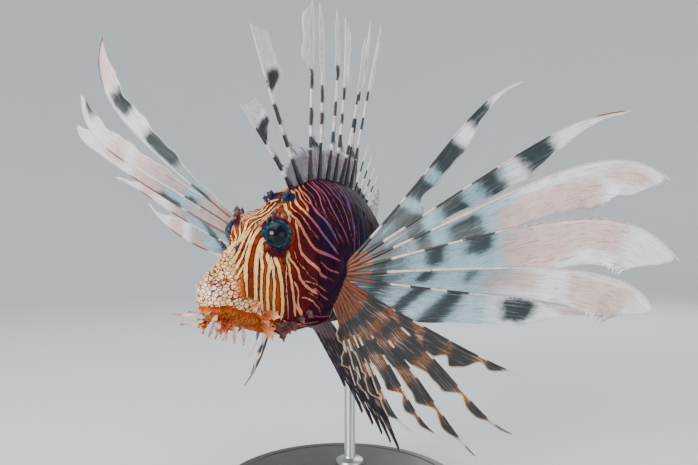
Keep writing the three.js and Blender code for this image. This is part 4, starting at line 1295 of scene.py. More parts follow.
    def zones(self, along: Array, angle: Array, out: Array, up: Array) -> dict[str, Array]:
        """The soft-edged zones of the markings, of the painted shade on the rear trunk and round the eye, and
        of the painted highlight on the brow, each from 0 to 1.
        """
        degrees = np.degrees(np.arcsin(np.sin(angle)))
        over_mouth = up - np.interp(along, *zip(*self.mouth_heights))
        tone = 0.04 + 0.42 * smoothstep(along - 0.10 * up, 34, 52) + 0.26 * smoothstep(along, 52, 72)
        # The rear trunk, its upper part first, moves to the navy end of the ramps: painted shade.
        tone = tone + 0.28 * smoothstep(along + 0.16 * up, 84, 118)
        tone += 0.18 * bell(along - 76, 7) * bell(degrees - 26, 14)
        tone -= 0.2 * smoothstep(degrees, 48, 72) * (1 - smoothstep(along, 56, 66))
        for band in BANDS:
            tone += band.shift * self.along_band(band, along, degrees)
        belly = smoothstep(-degrees, 40, 78)
        tone = np.clip(tone - 0.18 * belly * smoothstep(along, 60, 90), 0, 1)
        above = smoothstep(over_mouth, 0.2, 1.2)
        lip = above * (1 - smoothstep(over_mouth, 6.0, 9.0)) * (1 - smoothstep(along, 24, 31))
        snout = (1 - smoothstep(along - 0.3 * up, 11, 18)) * above
        jaw = (1 - smoothstep(over_mouth, -1.4, -0.4)) * (1 - smoothstep(along, 30, 35))
        white = 0.7 * bell(along - 4.0, 4.0) * bell(up + 1.0, 4.0)
        place = np.stack([along, np.abs(out), up], axis=-1)
        horn = 1 - smoothstep(np.linalg.norm(place - np.array(self.horn), axis=-1), 3.0, 4.4)
        # The brow zone carries the painted highlight on the brow bump.
        brow = bell(np.linalg.norm(place - np.array(self.brow), axis=-1), 5.2)
        scaly = smoothstep(along, 60, 92) * (1 - 0.3 * belly)
        # The lid zone is painted shade: a dark ring close round the eye, strongest above and below it.
        off, high = self.off_gaze(place, Side.LEFT)
        lid = 1 - smoothstep(off - self.opening, 0.12, 0.34)
        lid = lid * (0.2 + 0.8 * smoothstep(np.abs(high), 0.3, 0.6))
        from_eye = np.linalg.norm(place - np.asarray(self.form.eye), axis=-1)
        lid = np.where(from_eye < self.form.eye_radius + self.lid_reach, lid, 0)
        return {
            "lid": lid,
            "tone": tone,
            "net": np.maximum(lip, snout),
            "jaw": jaw,
            "white": np.clip(white * 1.1, 0, 0.92),
            "horn": horn,
            "brow": np.clip(brow * 1.2, 0, 1),
            "scaly": 0.25 + 0.75 * scaly,
        }

    def along_band(self, band: Band, along: Array, degrees: Array) -> Array:
        """How far each place lies in a band, from 0 to 1."""
        path = curve_through(band.places, 40) * self.degree
        flat = np.stack([along, degrees], axis=-1).reshape(-1, 2) * self.degree
        away, _ = distance_to_path(flat, path)
        return 1 - smoothstep(away.reshape(along.shape), band.half * 0.6, band.half * 1.5)

    def build(self) -> bpy.types.Object:
        """Builds the skin as one closed mesh."""
        rings = self.rings()
        turn = np.linspace(-np.pi, np.pi, self.around, endpoint=False)
        along, angle = np.meshgrid(rings, turn, indexing="ij")
        out, up = self.form.local(along, angle)
        base = self.form.line.place(along, out, up)
        around = np.roll(base, -1, axis=1) - np.roll(base, 1, axis=1)
        normal = unit(np.cross(around, np.gradient(base, axis=0)))
        centre = self.form.line.point(rings)[:, None]
        if np.mean(np.sum(normal * (base - centre), axis=-1)) < 0:
            normal = -normal
        skin = base + normal * self.relief(along, angle, out, up)[..., None]
        skin = self.open_eyes(skin, along, out, up)
        line = self.markings.distance(self.form, along, angle)
        zones = self.zones(along, angle, out, up)
        girth = np.cumsum(np.linalg.norm(np.diff(base, axis=1, append=base[:, :1]), axis=-1), axis=1)
        fish = np.stack([along, out, up], axis=-1)
        scale = np.stack([along, girth, 0 * along], axis=-1)
        piece = Piece("fish_skin")
        piece.grid(skin, closed=True, line=line, place_fish=fish, place_scale=scale, **zones)
        rows = len(rings)
        for row, flip in ((0, False), (rows - 1, True)):
            self.close_end(piece, skin[row], fish[row], {k: v[row] for k, v in zones.items()}, flip)
        skin_object = piece.build(SkinFinish().material())
        weld(skin_object)
        return install(skin_object, "skin", "head", "lower_jaw", "trunk", "tail_stem")

    def close_end(self, piece: Piece, ring: Array, fish: Array, zones: dict[str, Array], flip: bool) -> None:
        """Closes one end of the skin with a fan of faces to its middle."""
        count = len(ring)
        first = np.arange(count)
        faces = np.stack([np.full(count, count), first, np.roll(first, -1)], axis=1)
        values = {name: np.append(value, value.mean()) for name, value in zones.items()}
        values["line"] = np.full(count + 1, self.end_line)
        values["place_fish"] = values["place_scale"] = np.vstack([fish, fish.mean(0)])
        piece.add(np.vstack([ring, ring.mean(0)]), [faces[:, ::-1] if flip else faces], **values)


def weld(piece: bpy.types.Object, distance: float = 1e-6) -> None:
    """Joins the points of a mesh that lie on each other and turns its faces outward."""
    mesh = bmesh.new()
    mesh.from_mesh(piece.data)
    bmesh.ops.remove_doubles(mesh, verts=mesh.verts, dist=distance)
    bmesh.ops.recalc_face_normals(mesh, faces=mesh.faces)
    mesh.to_mesh(piece.data)
    mesh.free()


@dataclass
class Eye:
    """One wet eyeball with a raised cornea. Angles are in radians, off the gaze."""

    form: BodyForm
    side: Side
    cornea: float = 0.7
    cornea_angle: float = 0.72
    iris_angle: float = 1.25
    inset: float = 0.25
    rings: int = 64
    around: int = 96

    def build(self) -> bpy.types.Object:
        """Builds the eyeball."""
        along, out, up = self.form.eye
        centre = self.form.line.place(along, out * self.side.value, up)
        back, sideways, high = GAZE[self.side]
        axis = self.form.line.direction(along, back, sideways * self.side.value, high)
        across = square_to(self.form.line.direction(along, 0, 0, 1), axis)
        third = np.cross(axis, across)
        tilt = np.linspace(0.0, np.pi, self.rings)[:, None]
        turn = np.linspace(0, WHOLE_TURN, self.around, endpoint=False)[None, :]
        swell = self.cornea * (1 - smoothstep(tilt, 0.0, self.cornea_angle))
        radius = self.form.eye_radius - self.inset + swell + 0 * turn
        way = (
            np.cos(tilt)[..., None] * axis
            + (np.sin(tilt) * np.cos(turn))[..., None] * across
            + (np.sin(tilt) * np.sin(turn))[..., None] * third
        )
        gaze = np.broadcast_to(tilt / self.iris_angle, radius.shape)
        flat = np.stack(np.broadcast_arrays(tilt * 4, 5 * np.cos(turn), 5 * np.sin(turn)), axis=-1)
        piece = Piece(f"eye_{self.side.word}_wet")
        piece.grid(centre + way * radius[..., None], closed=True, gaze=gaze, place_eye=flat)
        ball = piece.build(EyeFinish().material())
        weld(ball)
        return install(ball, "eye", f"eye_{self.side.word}")


@dataclass(frozen=True)
class Blot:
    """A blotch on a ray and its web between two shares of its length, out to a share of the web's width."""

    start: float
    end: float
    inner: float = -1.0
    outer: float = 2.0

    def cover(self, run: Array, across: Array | float, soft: float) -> Array:
        """How much the blotch covers, 1 inside and 0.5 at its edge."""
        began, ended = (smoothstep(run, end - soft, end + soft) for end in (self.start, self.end))
        inside = smoothstep(across, self.inner - 0.2, self.inner + 0.2)
        outside = smoothstep(across, self.outer - 0.25, self.outer + 0.25)
        return began * (1 - ended) * (inside * (1 - outside))


def spots(*spans: tuple[float, ...]) -> tuple[Blot, ...]:
    """Blotches from short tuples of start, end and, where it has them, inner and outer."""
    return tuple(Blot(*span) for span in spans)


def covered(blots: Sequence[Blot], run: Array, across: Array | float, soft: float = 0.045) -> Array:
    """How much a set of blotches covers at places on a ray and its web."""
    return sum((blot.cover(run, across, soft) for blot in blots), np.zeros_like(run))


def row_of_spots(
    span: tuple[float, float], pitch: float, shift: float, count: int, inner: float, outer: float
) -> tuple[Blot, ...]:
    """Like spots at even steps along a ray.

    Args:
        span: The start and end of the first.
        pitch: The step from one to the next.
        shift: How far all are moved outward.
        count: How many there are.
        inner: Where each begins across the web.
        outer: Where each ends across the web.

    Returns:
        The spots.
    """
    return tuple(Blot(*(end + pitch * k + shift for end in span), inner, outer) for k in range(count))


def angle_of(degrees: tuple[float, float], share: float) -> float:
    """The angle in radians at a share of the way between two in degrees."""
    return math.radians(lerp(*degrees, share))


@dataclass
class Ray:
    """One ray of a fin, with the skin behind it that reaches the next ray or hangs free."""

    root: Array
    way: Array
    length: float
    bow: Array
    curl: Array
    radius: float
    width: float
    peak: float = 0.6
    blunt: float = 0.1
    facing: Array | None = None
    join: float = 0.4
    let_go: float = 0.55
    front: float = 0.0
    behind: float = 0.0
    ruffle: float = 0.0
    fringe: float = 0.0
    dark: tuple[Blot, ...] = ()
    warm: tuple[Blot, ...] = ()
    milky: tuple[float, float] = (0.4, 0.75)
    tip_radius: float = 0.3
    tan: float = 0.0
    warm_root: float = 0.1
    lobed: float = 0.0
    shaded: float = 0.0
    flame: float = 0.0
    hook: Array | None = None
    curl_power: int = 8
    hook_power: int = 36
    pennant: tuple[float, float, float] = (0.58, 0.68, 0.9)

    def at(self, run: Array, hooked: bool = True) -> Array:
        """The points of the ray at shares of its length, with or without its hooked tip."""
        t = run[..., None]
        straight = self.root + self.way * (self.length * t)
        bent = straight + self.bow * (self.length * 4 * t * (1 - t))
        bent = bent + self.curl * (self.length * t**self.curl_power)
        return bent + self.hook * t**self.hook_power if hooked and self.hook is not None else bent

    def skin_width(self, run: Array) -> Array:
        """The width of the free skin at shares of the ray's length."""
        widest = self.width * (0.25 + 0.75 * smoothstep(run, 0, self.peak))
        start, full, end = self.pennant
        pennant = smoothstep(run, start, full) * (1 - smoothstep(run, end, 1))
        return widest * lerp(1.0, self.blunt, smoothstep(run, self.peak, 1)) + self.behind * pennant


@dataclass
class Fin:
    """A fin of rays in order, each with its own web."""

    name: str
    rays: list[Ray]
    web_finish: bpy.types.Material
    ray_finish: bpy.types.Material
    rows: int = 120
    columns: int = 10
    half: float = 0.16
    free_turn: float = 0.8
    sag: float = 0.05
    sides: int = 8
    steps: int = 161
    edge_half: float = 0.09
    web_end: float = 0.995
    waves: float = 0.05
    tooth_pitch: float = 2.9
    fringe_start: float = 0.76
    fringe_full: float = 0.9
    pattern_shift: float = 31.0
    off_edge: float = 9.0
    front_start: float = 0.55
    front_half: float = 0.1
    rod_steps: int = 90
    root_swell: float = 0.6
    knot_height: float = 0.06
    knot_pitch: float = 6.0

    def frame_of(self, i: int, run: Array) -> tuple[Array, Array, Array, Array]:
        """The axes along one ray.

        Args:
            i: The ray's number.
            run: Shares of its length.

        Returns:
            The way to the free edge, the gap to the next ray, the web's normal and the share let go.
        """
        ray = self.rays[i]
        here = ray.at(run, False)
        tangent = unit(np.gradient(here, axis=0))
        if i < len(self.rays) - 1:
            to = self.rays[i + 1].at(run) - here
        else:
            to = here - self.rays[i - 1].at(run)
        to = to - np.sum(to * tangent, axis=-1, keepdims=True) * tangent
        gap = np.linalg.norm(to, axis=-1)
        across = unit(to)
        span = max(ray.let_go - ray.join, 1e-3)
        freed = np.clip((run - ray.join) / span, 0, 1)
        if ray.facing is not None:
            turn = self.free_turn * np.clip((run - ray.join) / (2 * span), 0, 1)
            across = across + (ray.facing - across) * turn[:, None]
        across = square_to(across, tangent)
        if i == len(self.rays) - 1:
            freed = np.ones_like(freed)
        return across, gap, unit(np.cross(tangent, across)), freed

    def add_web(self, web: Piece, i: int) -> None:
        """Adds the skin behind one ray."""
        ray = self.rays[i]
        run = np.linspace(0, 1, self.steps)
        across, gap, normal, freed = self.frame_of(i, run)
        last = i == len(self.rays) - 1
        t = np.linspace(0.0, self.web_end, self.rows)[:, None]
        v = np.linspace(0, 1, self.columns)[None, :]
        rounding = 0.02 + 0.06 * (ray.blunt > 0.3)
        t_v = t - rounding * v**2 * smoothstep(t, 0.75, 1.0)

        def sample(values: Array) -> Array:
            """The values along the ray, read at the web's own points."""
            if values.ndim == 1:
                return np.interp(t_v, run, values)
            return np.stack([np.interp(t_v, run, values[:, k]) for k in range(3)], axis=-1)

        radius = lerp(ray.radius, ray.tip_radius, t_v)
        room = np.maximum(sample(gap) * 0.88 - radius * 2, radius * 1.6)
        width = np.maximum(ray.skin_width(t_v), radius * 1.2)
        lobes = np.clip(covered(ray.dark, t_v, 0.0, 0.05), 0, 1)
        lobing = ray.lobed * smoothstep(t_v, ray.let_go, ray.let_go + 0.12)
        width = width * lerp(1.0, 0.2 + 0.8 * lobes, lobing)
        phase = 1.7 * i
        wave = np.sin(WHOLE_TURN * (5.0 * t_v + 0.13 * i)) + 0.6 * np.sin(WHOLE_TURN * (11.3 * t_v) + phase)
        width = width * (1 + self.waves * wave * ray.ruffle)
        if not last:
            width = np.minimum(width, room)
        saw = (t_v * ray.length / self.tooth_pitch + phase + 0.3 * np.sin(41 * t_v)) % 1.0
        tooth = np.minimum(saw / 0.75, (1 - saw) / 0.25) * (0.55 + 0.45 * np.sin(23 * t_v + phase))
        frayed = smoothstep(t_v, self.fringe_start, self.fringe_full)
        width = width + ray.fringe * (tooth - 0.4) * v**10 * frayed
        base = sample(ray.at(run))
        free = base + sample(across) * (v * width)[..., None]
        lean = np.sin(WHOLE_TURN * (2.2 * t_v + 0.31 * i)) * v**2 * width * 0.10
        lean = lean + ray.ruffle * wave * self.waves * width * v**2
        free = free + sample(normal) * (lean * smoothstep(t_v, 0.2, 0.6))[..., None]
        let = sample(freed)
        if last:
            points = free
        else:
            beyond = sample(self.rays[i + 1].at(run))
            held = base + (beyond - base) * v[..., None]
            held = held + sample(normal) * (np.sin(np.pi * v) * sample(gap) * self.sag)[..., None]
            share = (let**2 * (3 - 2 * let))[..., None]
            points = held * (1 - share) + free * share
        dark = covered(ray.dark, t_v, v)
        warm = covered(ray.warm, t_v, v)
        milky = smoothstep(t_v, *ray.milky)
        rim = np.minimum((1 - v) * width, (1 - t_v) * ray.length)
        rim = np.where(let > 0.5, rim, self.off_edge)
        place = np.stack([t_v * ray.length, v * width + self.pattern_shift * i, 0 * t_v], axis=-1)
        half = lerp(self.half, self.edge_half, t_v)
        tan = ray.tan * (1 - 0.75 * smoothstep(t_v, 0.6, 0.95)) + 0 * v
        shade = ray.shaded * (1 - smoothstep(t_v + ray.flame * v, 0.1, 0.36))
        values = {"dark": dark, "warm": warm, "milky": milky, "edge": rim, "tan": tan, "shade": shade}
        web.sheet(points, half, place_web=place, **values)

    def add_front(self, web: Piece, i: int) -> None:
        """Adds the narrow pennant before one ray."""
        ray = self.rays[i]
        run = np.linspace(self.front_start, 1, 60)
        across, _, _, _ = self.frame_of(i, run)
        v = np.linspace(0, 1, 6)[None, :]
        width = ray.front * smoothstep(run, 0.58, 0.7) * (1 - smoothstep(run, 0.9, 1))
        wave = 1 + 0.08 * np.sin(WHOLE_TURN * 6 * run)
        points = ray.at(run)[:, None] - across[:, None] * (v * (width * wave)[:, None] + 0.02)[..., None]
        t = run[:, None] + 0 * v
        dark = covered(ray.dark, t, v)
        place = np.stack([t * ray.length, v * width[:, None] + self.pattern_shift * i + 15, 0 * t], axis=-1)
        values = {"dark": dark, "milky": smoothstep(t, *ray.milky), "edge": (1 - v) * width[:, None]}
        web.sheet(points, self.front_half, place_web=place, warm=0 * t, tan=0 * t, shade=0 * t, **values)

    def add_rod(self, rods: Piece, i: int) -> None:
        """Adds one ray's rod, slightly knotted, along the ray's bent path."""
        ray = self.rays[i]
        run = np.linspace(0, 1, self.rod_steps)
        radius = lerp(ray.radius, ray.tip_radius, run)
        radius = radius * (1 + self.root_swell * (1 - smoothstep(run, 0.05, 0.2)))
        radius = radius * (1 + self.knot_height * np.sin(WHOLE_TURN * run * ray.length / self.knot_pitch + i))
        dark = covered(ray.dark, run, 0.0)
        warm = 1 - smoothstep(run, ray.warm_root, ray.warm_root + 0.12) + covered(ray.warm, run, 0.0)
        place = np.stack([run * ray.length, 0 * run + self.pattern_shift * i, 0 * run], axis=-1)
        values = {"dark": dark, "warm": warm, "run": run * ray.length, "place_web": place}
        rods.tube(ray.at(run), radius, self.sides, **values)

    def build(self, slot: str, node: str) -> list[bpy.types.Object]:
        """Builds the fin's web and rays.

        Args:
            slot: The name of its material slot, passed on to the log.
            node: The node that the fin stands for.

        Returns:
            The two pieces.
        """
        web = Piece(f"{self.name}_web")
        rods = Piece(f"{self.name}_rays")
        for i, ray in enumerate(self.rays):
            self.add_web(web, i)
            self.add_rod(rods, i)
            if ray.front > 0:
                self.add_front(web, i)
        pieces = [web.build(self.web_finish), rods.build(self.ray_finish)]
        return [install(piece, slot, node) for piece in pieces]


@dataclass(frozen=True)
class FanRay:
    """One ray of a pectoral fan: its pose, its skin and its blotches.

    Elevation and sweep are in degrees, length in millimetres, and bow and curl are shares of the length.
    """

    elevation: float
    sweep: float
    length: float
    bow: float
    curl: float
    width: float
    blunt: float
    dark: tuple[Blot, ...] = ()
    warm: tuple[Blot, ...] = ()
    fringe: float = 0.0


RayLook = dict[str, float | tuple[float, float]]
UPPER_RAY: RayLook = {"ruffle": 1.0, "milky": (0.42, 0.72), "warm_root": 0.08, "shaded": 1.0}
LOWER_RAY: RayLook = UPPER_RAY | {
    "ruffle": 1.6, "milky": (0.75, 1.2), "warm_root": 0.24, "shaded": 0.4, "tan": 1.0, "lobed": 1.0
}
TALL_SPINE: RayLook = {"radius": 1.15, "width": 3.0, "blunt": 0.7, "join": 0.17, "let_go": 0.3}
SHORT_SPINE: RayLook = {"radius": 0.9, "width": 2.2, "blunt": 0.15, "join": 0.3, "let_go": 0.5}
FAN_WEB = ("#1c3c40", "#7fb0c0", "#dfe0e6", "#0f2428", "#c08462")
FAN_ROD = ("#dcc0b4", "#2a2224", "#6e300e")
SPINE_WEB = ("#4a1822", "#b4bcc8", "#eceaea", "#0c1a24", "#64202a")
SPINE_ROD = ("#e6d6cc", "#141820", "#34141a")
CLEAR_WEB = ("#8a8488", "#bcc2c4", "#ded6cf", "#33221f", "#c08a70")
CLEAR_ROD = ("#dcc9bb", "#3a2622", "#b07a62")
PELVIC_WEB = ("#191a26", "#191a26", "#3a2c34", "#0c0d14", "#b9a9a4")
PELVIC_ROD = ("#2a2029", "#0c0d14", "#6b5358")


@dataclass
class PectoralFan:
    """A spread pectoral fin of fourteen rays."""

    form: BodyForm
    side: Side
    along: float = 88.0
    root_top: tuple[float, float] = (88.0, 3.0)
    root_bottom: tuple[float, float] = (82.0, -23.0)
    root_depth: float = 2.5
    radii: tuple[float, float] = (0.85, 0.75)
    blunt_limit: float = 0.3
    blunt_peak: float = 0.8
    pointed_peak: float = 0.6
    left_rows: int = 240
    right_rows: int = 150
    hook: float = 7.0
    stations: tuple[float, ...] = (0, 0.07, 0.16, 0.27, 0.4, 0.54, 0.68, 0.8, 0.91, 1, 1)
    left_joins: tuple[int, ...] = (3, 3, 5, 6, 5, 4, 4, 4, 4, 4, 4, 4, 4, 0)
    right_join: int = 4
    first_lower: int = 6
    left: tuple[FanRay, ...] = (
        FanRay(54, 36, 137, -0.02, -0.1, 9.5, 0.1,
               spots((0.06, 0.13), (0.2, 0.31), (0.35, 0.46), (0.5, 0.65), (0.73, 0.85))),
        FanRay(36, 26, 169, 0, -0.08, 13, 0.1,
               spots((0.08, 0.14), (0.22, 0.29), (0.34, 0.44), (0.48, 0.57), (0.63, 0.76)),
               spots((0.9, 0.99))),
        FanRay(29, 21, 168, -0.01, -0.14, 23, 0.85,
               spots((0.1, 0.17), (0.24, 0.3), (0.35, 0.47, 0.1, 1.2)),
               spots((0.5, 0.84, 0.25, 1.2), (0.86, 0.98, 0.1, 0.6)), 7.0),
        FanRay(17, 19, 165, 0.01, -0.16, 30, 0.78,
               spots((0.1, 0.16), (0.27, 0.35, -1, 0.9), (0.4, 0.5, -1, 0.6)),
               spots((0.52, 0.9, 0.0, 0.75), (0.55, 0.7, 0.5, 1.2)), 6.0),
        FanRay(5, 20, 158, 0.01, -0.1, 25, 0.78,
               spots((0.1, 0.15), (0.26, 0.33, 0, 0.8), (0.42, 0.47, 0, 0.7)),
               spots((0.5, 0.66, 0.1, 0.8), (0.74, 0.96, 0.1, 1.0)), 6.0),
        FanRay(-3, 27, 141, -0.01, -0.06, 16, 0.1,
               spots((0.12, 0.18), (0.26, 0.34), (0.4, 0.48), (0.6, 0.74, 0, 0.9)),
               spots((0.82, 0.94, 0.2, 0.8)), 2.6),
        FanRay(-27, 34, 112, -0.01, 0.01, 13, 0.1,
               spots((0.14, 0.24), (0.3, 0.4), (0.46, 0.6), (0.63, 0.77), (0.82, 0.93))),
        FanRay(-45, 34, 131, 0.06, 0.1, 9, 0.1,
               spots((0.12, 0.2), (0.25, 0.31), (0.36, 0.46), (0.5, 0.66), (0.74, 0.85), (0.9, 0.97))),
        FanRay(-52, 34, 124, 0.03, 0.04, 8, 0.1,
               spots((0.14, 0.22), (0.27, 0.32), (0.36, 0.48), (0.53, 0.67), (0.74, 0.87), (0.92, 0.98))),
        FanRay(-59, 40, 105, 0.03, 0.1, 8, 0.1,
               spots((0.16, 0.25), (0.32, 0.42), (0.48, 0.62), (0.7, 0.78), (0.82, 0.93))),
        FanRay(-65, 48, 92, 0.01, 0.09, 8, 0.1,
               spots((0.18, 0.28), (0.36, 0.48), (0.56, 0.66), (0.73, 0.88))),
        FanRay(-64, 58, 77, 0, 0.02, 7, 0.1, spots((0.2, 0.32), (0.42, 0.55), (0.66, 0.84))),
        FanRay(-67, 70, 64, 0, 0.02, 6, 0.1, spots((0.24, 0.38), (0.5, 0.66), (0.78, 0.92))),
        FanRay(-68, 80, 53, 0, 0.02, 5, 0.1, spots((0.28, 0.44), (0.58, 0.74))),
    )
    right: tuple[FanRay, ...] = (
        FanRay(37, -21, 164, -0.01, 0.15, 11.5, 0.85,
               spots((0.3, 0.4, -1, 0.3), (0.48, 0.66, 0.1, 1.2), (0.75, 0.86, 0.1, 1.2)),
               spots((0.88, 1.1), (0.4, 0.6, 0.5, 1.2), (0.2, 0.34))),
        FanRay(24, -14, 163, 0.03, 0.15, 12, 0.8,
               spots((0.36, 0.42, -1, 0.4), (0.93, 1.1, 0.3, 1.2)),
               spots((0.16, 0.36), (0.42, 0.68, 0.1, 1.2), (0.71, 0.8))),
        FanRay(25, -9, 169, -0.02, 0, 12, 0.8,
               spots((0.42, 0.54, -1, 0.35)),
               spots((0.16, 0.4), (0.5, 0.68), (0.72, 0.86, 0.2, 1.2))),
        FanRay(20, 2, 150, -0.04, -0.04, 12, 0.1, spots((0.3, 0.36)), spots((0.48, 0.6), (0.72, 0.82))),
        FanRay(10, 12, 141, -0.06, 0.04, 15, 0.1, spots((0.28, 0.34)), spots((0.45, 0.58), (0.66, 0.78))),
        FanRay(1, 34, 126, 0, 0, 14, 0.1, spots((0.2, 0.3), (0.4, 0.5), (0.62, 0.72), (0.82, 0.9))),
        FanRay(-6, 45, 128, 0, 0, 13, 0.1, spots((0.2, 0.3), (0.38, 0.5), (0.6, 0.72), (0.82, 0.92))),
        FanRay(-13, 52, 116, 0, 0, 11, 0.1, spots((0.2, 0.3), (0.4, 0.52), (0.62, 0.74), (0.84, 0.94))),
        FanRay(-20, 56, 104, 0, 0, 9, 0.1, spots((0.2, 0.32), (0.42, 0.54), (0.66, 0.78), (0.86, 0.95))),
        FanRay(-28, 55, 90, 0, 0, 8, 0.1, spots((0.22, 0.34), (0.46, 0.58), (0.7, 0.84))),
        FanRay(-40, 48, 75, 0, 0, 7, 0.1, spots((0.24, 0.38), (0.5, 0.64), (0.76, 0.9))),
        FanRay(-54, 32, 61, -0.04, 0, 5, 0.1, spots((0.28, 0.42), (0.56, 0.7))),
        FanRay(-70, 10, 64, -0.1, 0, 5, 0.1,
               spots((0.3, 0.42), (0.52, 0.64), (0.74, 0.86)),
               spots((0.2, 1.0))),
        FanRay(-74, 2, 51, -0.06, 0, 5, 0.1,
               spots((0.3, 0.42), (0.54, 0.66), (0.78, 0.9)),
               spots((0.2, 1.0))),
    )

    def joins(self) -> tuple[int, ...]:
        """The station at which the web of each ray begins to let go of the next ray."""
        if self.side is Side.LEFT:
            return self.left_joins
        return tuple(min(station, self.right_join) for station in (self.right_join, *self.left_joins[:-1]))

    def rays(self) -> list[Ray]:
        """The fan's rays, in the order in which the skin of each reaches the next."""
        table = self.left if self.side is Side.LEFT else self.right
        sign = self.side.value
        up = self.form.line.direction(self.along, 0, 0, 1)
        rays = []
        for i, (entry, join) in enumerate(zip(table, self.joins())):
            share = i / (len(table) - 1)
            along, height = (lerp(top, bottom, share) for top, bottom in zip(self.root_top, self.root_bottom))
            e, s = math.radians(entry.elevation), math.radians(entry.sweep)
            way = self.form.line.direction(
                self.along, math.cos(e) * math.sin(s), sign * math.cos(e) * math.cos(s), math.sin(e)
            )
            root = self.form.line.place(along, sign * self.form.flank(along, height), height)
            lift = square_to(up, way)
            facing = -sign * lift
            blunt = entry.blunt > self.blunt_limit
            look = LOWER_RAY if i >= self.first_lower and self.side is Side.LEFT else UPPER_RAY
            rays.append(
                Ray(
                    root=root - way * self.root_depth,
                    way=way,
                    length=entry.length + self.root_depth,
                    bow=lift * entry.bow,
                    curl=lift * entry.curl,
                    radius=lerp(*self.radii, share),
                    width=entry.width,
                    peak=self.blunt_peak if blunt else self.pointed_peak,
                    blunt=entry.blunt,
                    facing=facing,
                    join=self.stations[join],
                    let_go=self.stations[join + 1],
                    fringe=entry.fringe,
                    hook=facing * (self.hook if blunt else 0.0),
                    dark=entry.dark,
                    warm=entry.warm,
                    **look,
                )
            )
        return rays if self.side is Side.LEFT else rays[::-1]

    def build(self) -> list[bpy.types.Object]:
        """Builds the fan."""
        web = WebFinish(f"fan_web_{self.side.word}", *FAN_WEB, thin=0.42, full=0.94)
        rod = RayFinish(f"fan_ray_{self.side.word}", *FAN_ROD)
        rows = self.left_rows if self.side is Side.LEFT else self.right_rows
        fin = Fin(f"fan_{self.side.word}", self.rays(), web.material(), rod.material(), rows=rows, columns=12)
        return fin.build("fin", f"pectoral_fin_{self.side.word}")


@dataclass(frozen=True)
class SpineEntry:
    """One dorsal spine: lean forward in degrees, length, bow, the pennant's widths and the dark lengths."""

    lean: float
    length: float
    bow: float
    before: float
    behind: float
    dark: tuple[Blot, ...] = ()


@dataclass
class SpinyDorsal:
    """The thirteen spines of the back, each with a narrow web and a pennant at its tip."""

    form: BodyForm
    start: float = 71.0
    end: float = 156.0
    tall: float = 55.0
    root_depth: float = 2.5
    entries: tuple[SpineEntry, ...] = (
        SpineEntry(43.5, 59, 0.02, 0, 8.5, spots((0.0, 0.16, -1, 0.1), (0.27, 0.44), (0.58, 0.76))),
        SpineEntry(28.5, 90, -0.02, 0, 11,
                   spots((0.0, 0.2, -1, 0.1), (0.27, 0.35), (0.41, 0.54), (0.6, 0.72, 0, 0.8))),
        SpineEntry(1.5, 99, 0, 9, 0.8,
                   spots((0.0, 0.12, -1, 0.1), (0.2, 0.27), (0.33, 0.42), (0.53, 0.63))),
        SpineEntry(5, 97.5, 0.03, 2, 0.8, spots((0.0, 0.24, -1, 0.1), (0.34, 0.41), (0.46, 0.56))),
        SpineEntry(1.5, 98.5, 0.05, 2.2, 0.8,
                   spots((0.0, 0.12, -1, 0.1), (0.24, 0.31), (0.4, 0.49), (0.61, 0.7))),
        SpineEntry(2.5, 98.5, 0.05, 0, 6,
                   spots((0.0, 0.14, -1, 0.1), (0.23, 0.31), (0.38, 0.44), (0.52, 0.6))),
        SpineEntry(-8.5, 98.5, 0.04, 3, 2,
                   spots((0.0, 0.12, -1, 0.1), (0.22, 0.28), (0.4, 0.46), (0.55, 0.63))),
        SpineEntry(-6, 112, 0, 0, 3, spots((0.0, 0.12, -1, 0.1), (0.2, 0.26), (0.34, 0.42), (0.52, 0.58))),
        SpineEntry(-11, 120.5, 0, 0, 2.5,
                   spots((0.0, 0.12, -1, 0.1), (0.2, 0.27), (0.37, 0.44), (0.54, 0.6))),
        SpineEntry(-24, 42, 0, 0, 0, spots((0.1, 0.3), (0.5, 0.68))),
        SpineEntry(-29, 38, 0, 0, 0, spots((0.1, 0.32), (0.52, 0.7))),
        SpineEntry(-34, 35, 0, 0, 0, spots((0.1, 0.34), (0.54, 0.72))),
        SpineEntry(-38, 36, 0, 0, 0, spots((0.1, 0.34), (0.54, 0.72))),
    )

    def rays(self) -> list[Ray]:
        """The spines, from the nape."""
        rays = []
        for i, entry in enumerate(self.entries):
            along = lerp(self.start, self.end, i / (len(self.entries) - 1))
            a = math.radians(entry.lean)
            line = self.form.line
            way = line.direction(along, -math.sin(a), 0, math.cos(a))
            root = line.place(along, 0, self.form.top(along)) - way * self.root_depth
            back = line.direction(along, 1, 0, 0)
            rays.append(
                Ray(
                    root=root,
                    way=way,
                    length=entry.length + self.root_depth,
                    bow=back * entry.bow,
                    curl=back * 0,
                    peak=0.1,
                    front=entry.before,
                    behind=entry.behind,
                    ruffle=2.0,
                    dark=entry.dark,
                    warm=spots((-0.1, 0.2)),
                    shaded=1.0,
                    flame=0.55,
                    milky=(0.2, 0.7),
                    tip_radius=0.28,
                    **(TALL_SPINE if entry.length > self.tall else SHORT_SPINE),
                )
            )
        return rays

    def build(self) -> list[bpy.types.Object]:
        """Builds the spiny fin."""
        web = WebFinish("spine_web", *SPINE_WEB, thin=0.06, full=0.95, streak="#5a2a34")
        rod = RayFinish("spine_rod", *SPINE_ROD)
        fin = Fin("dorsal_spines", self.rays(), web.material(), rod.material(), rows=110, columns=7)
        return fin.build("spine_fin", "dorsal_fin_spiny")


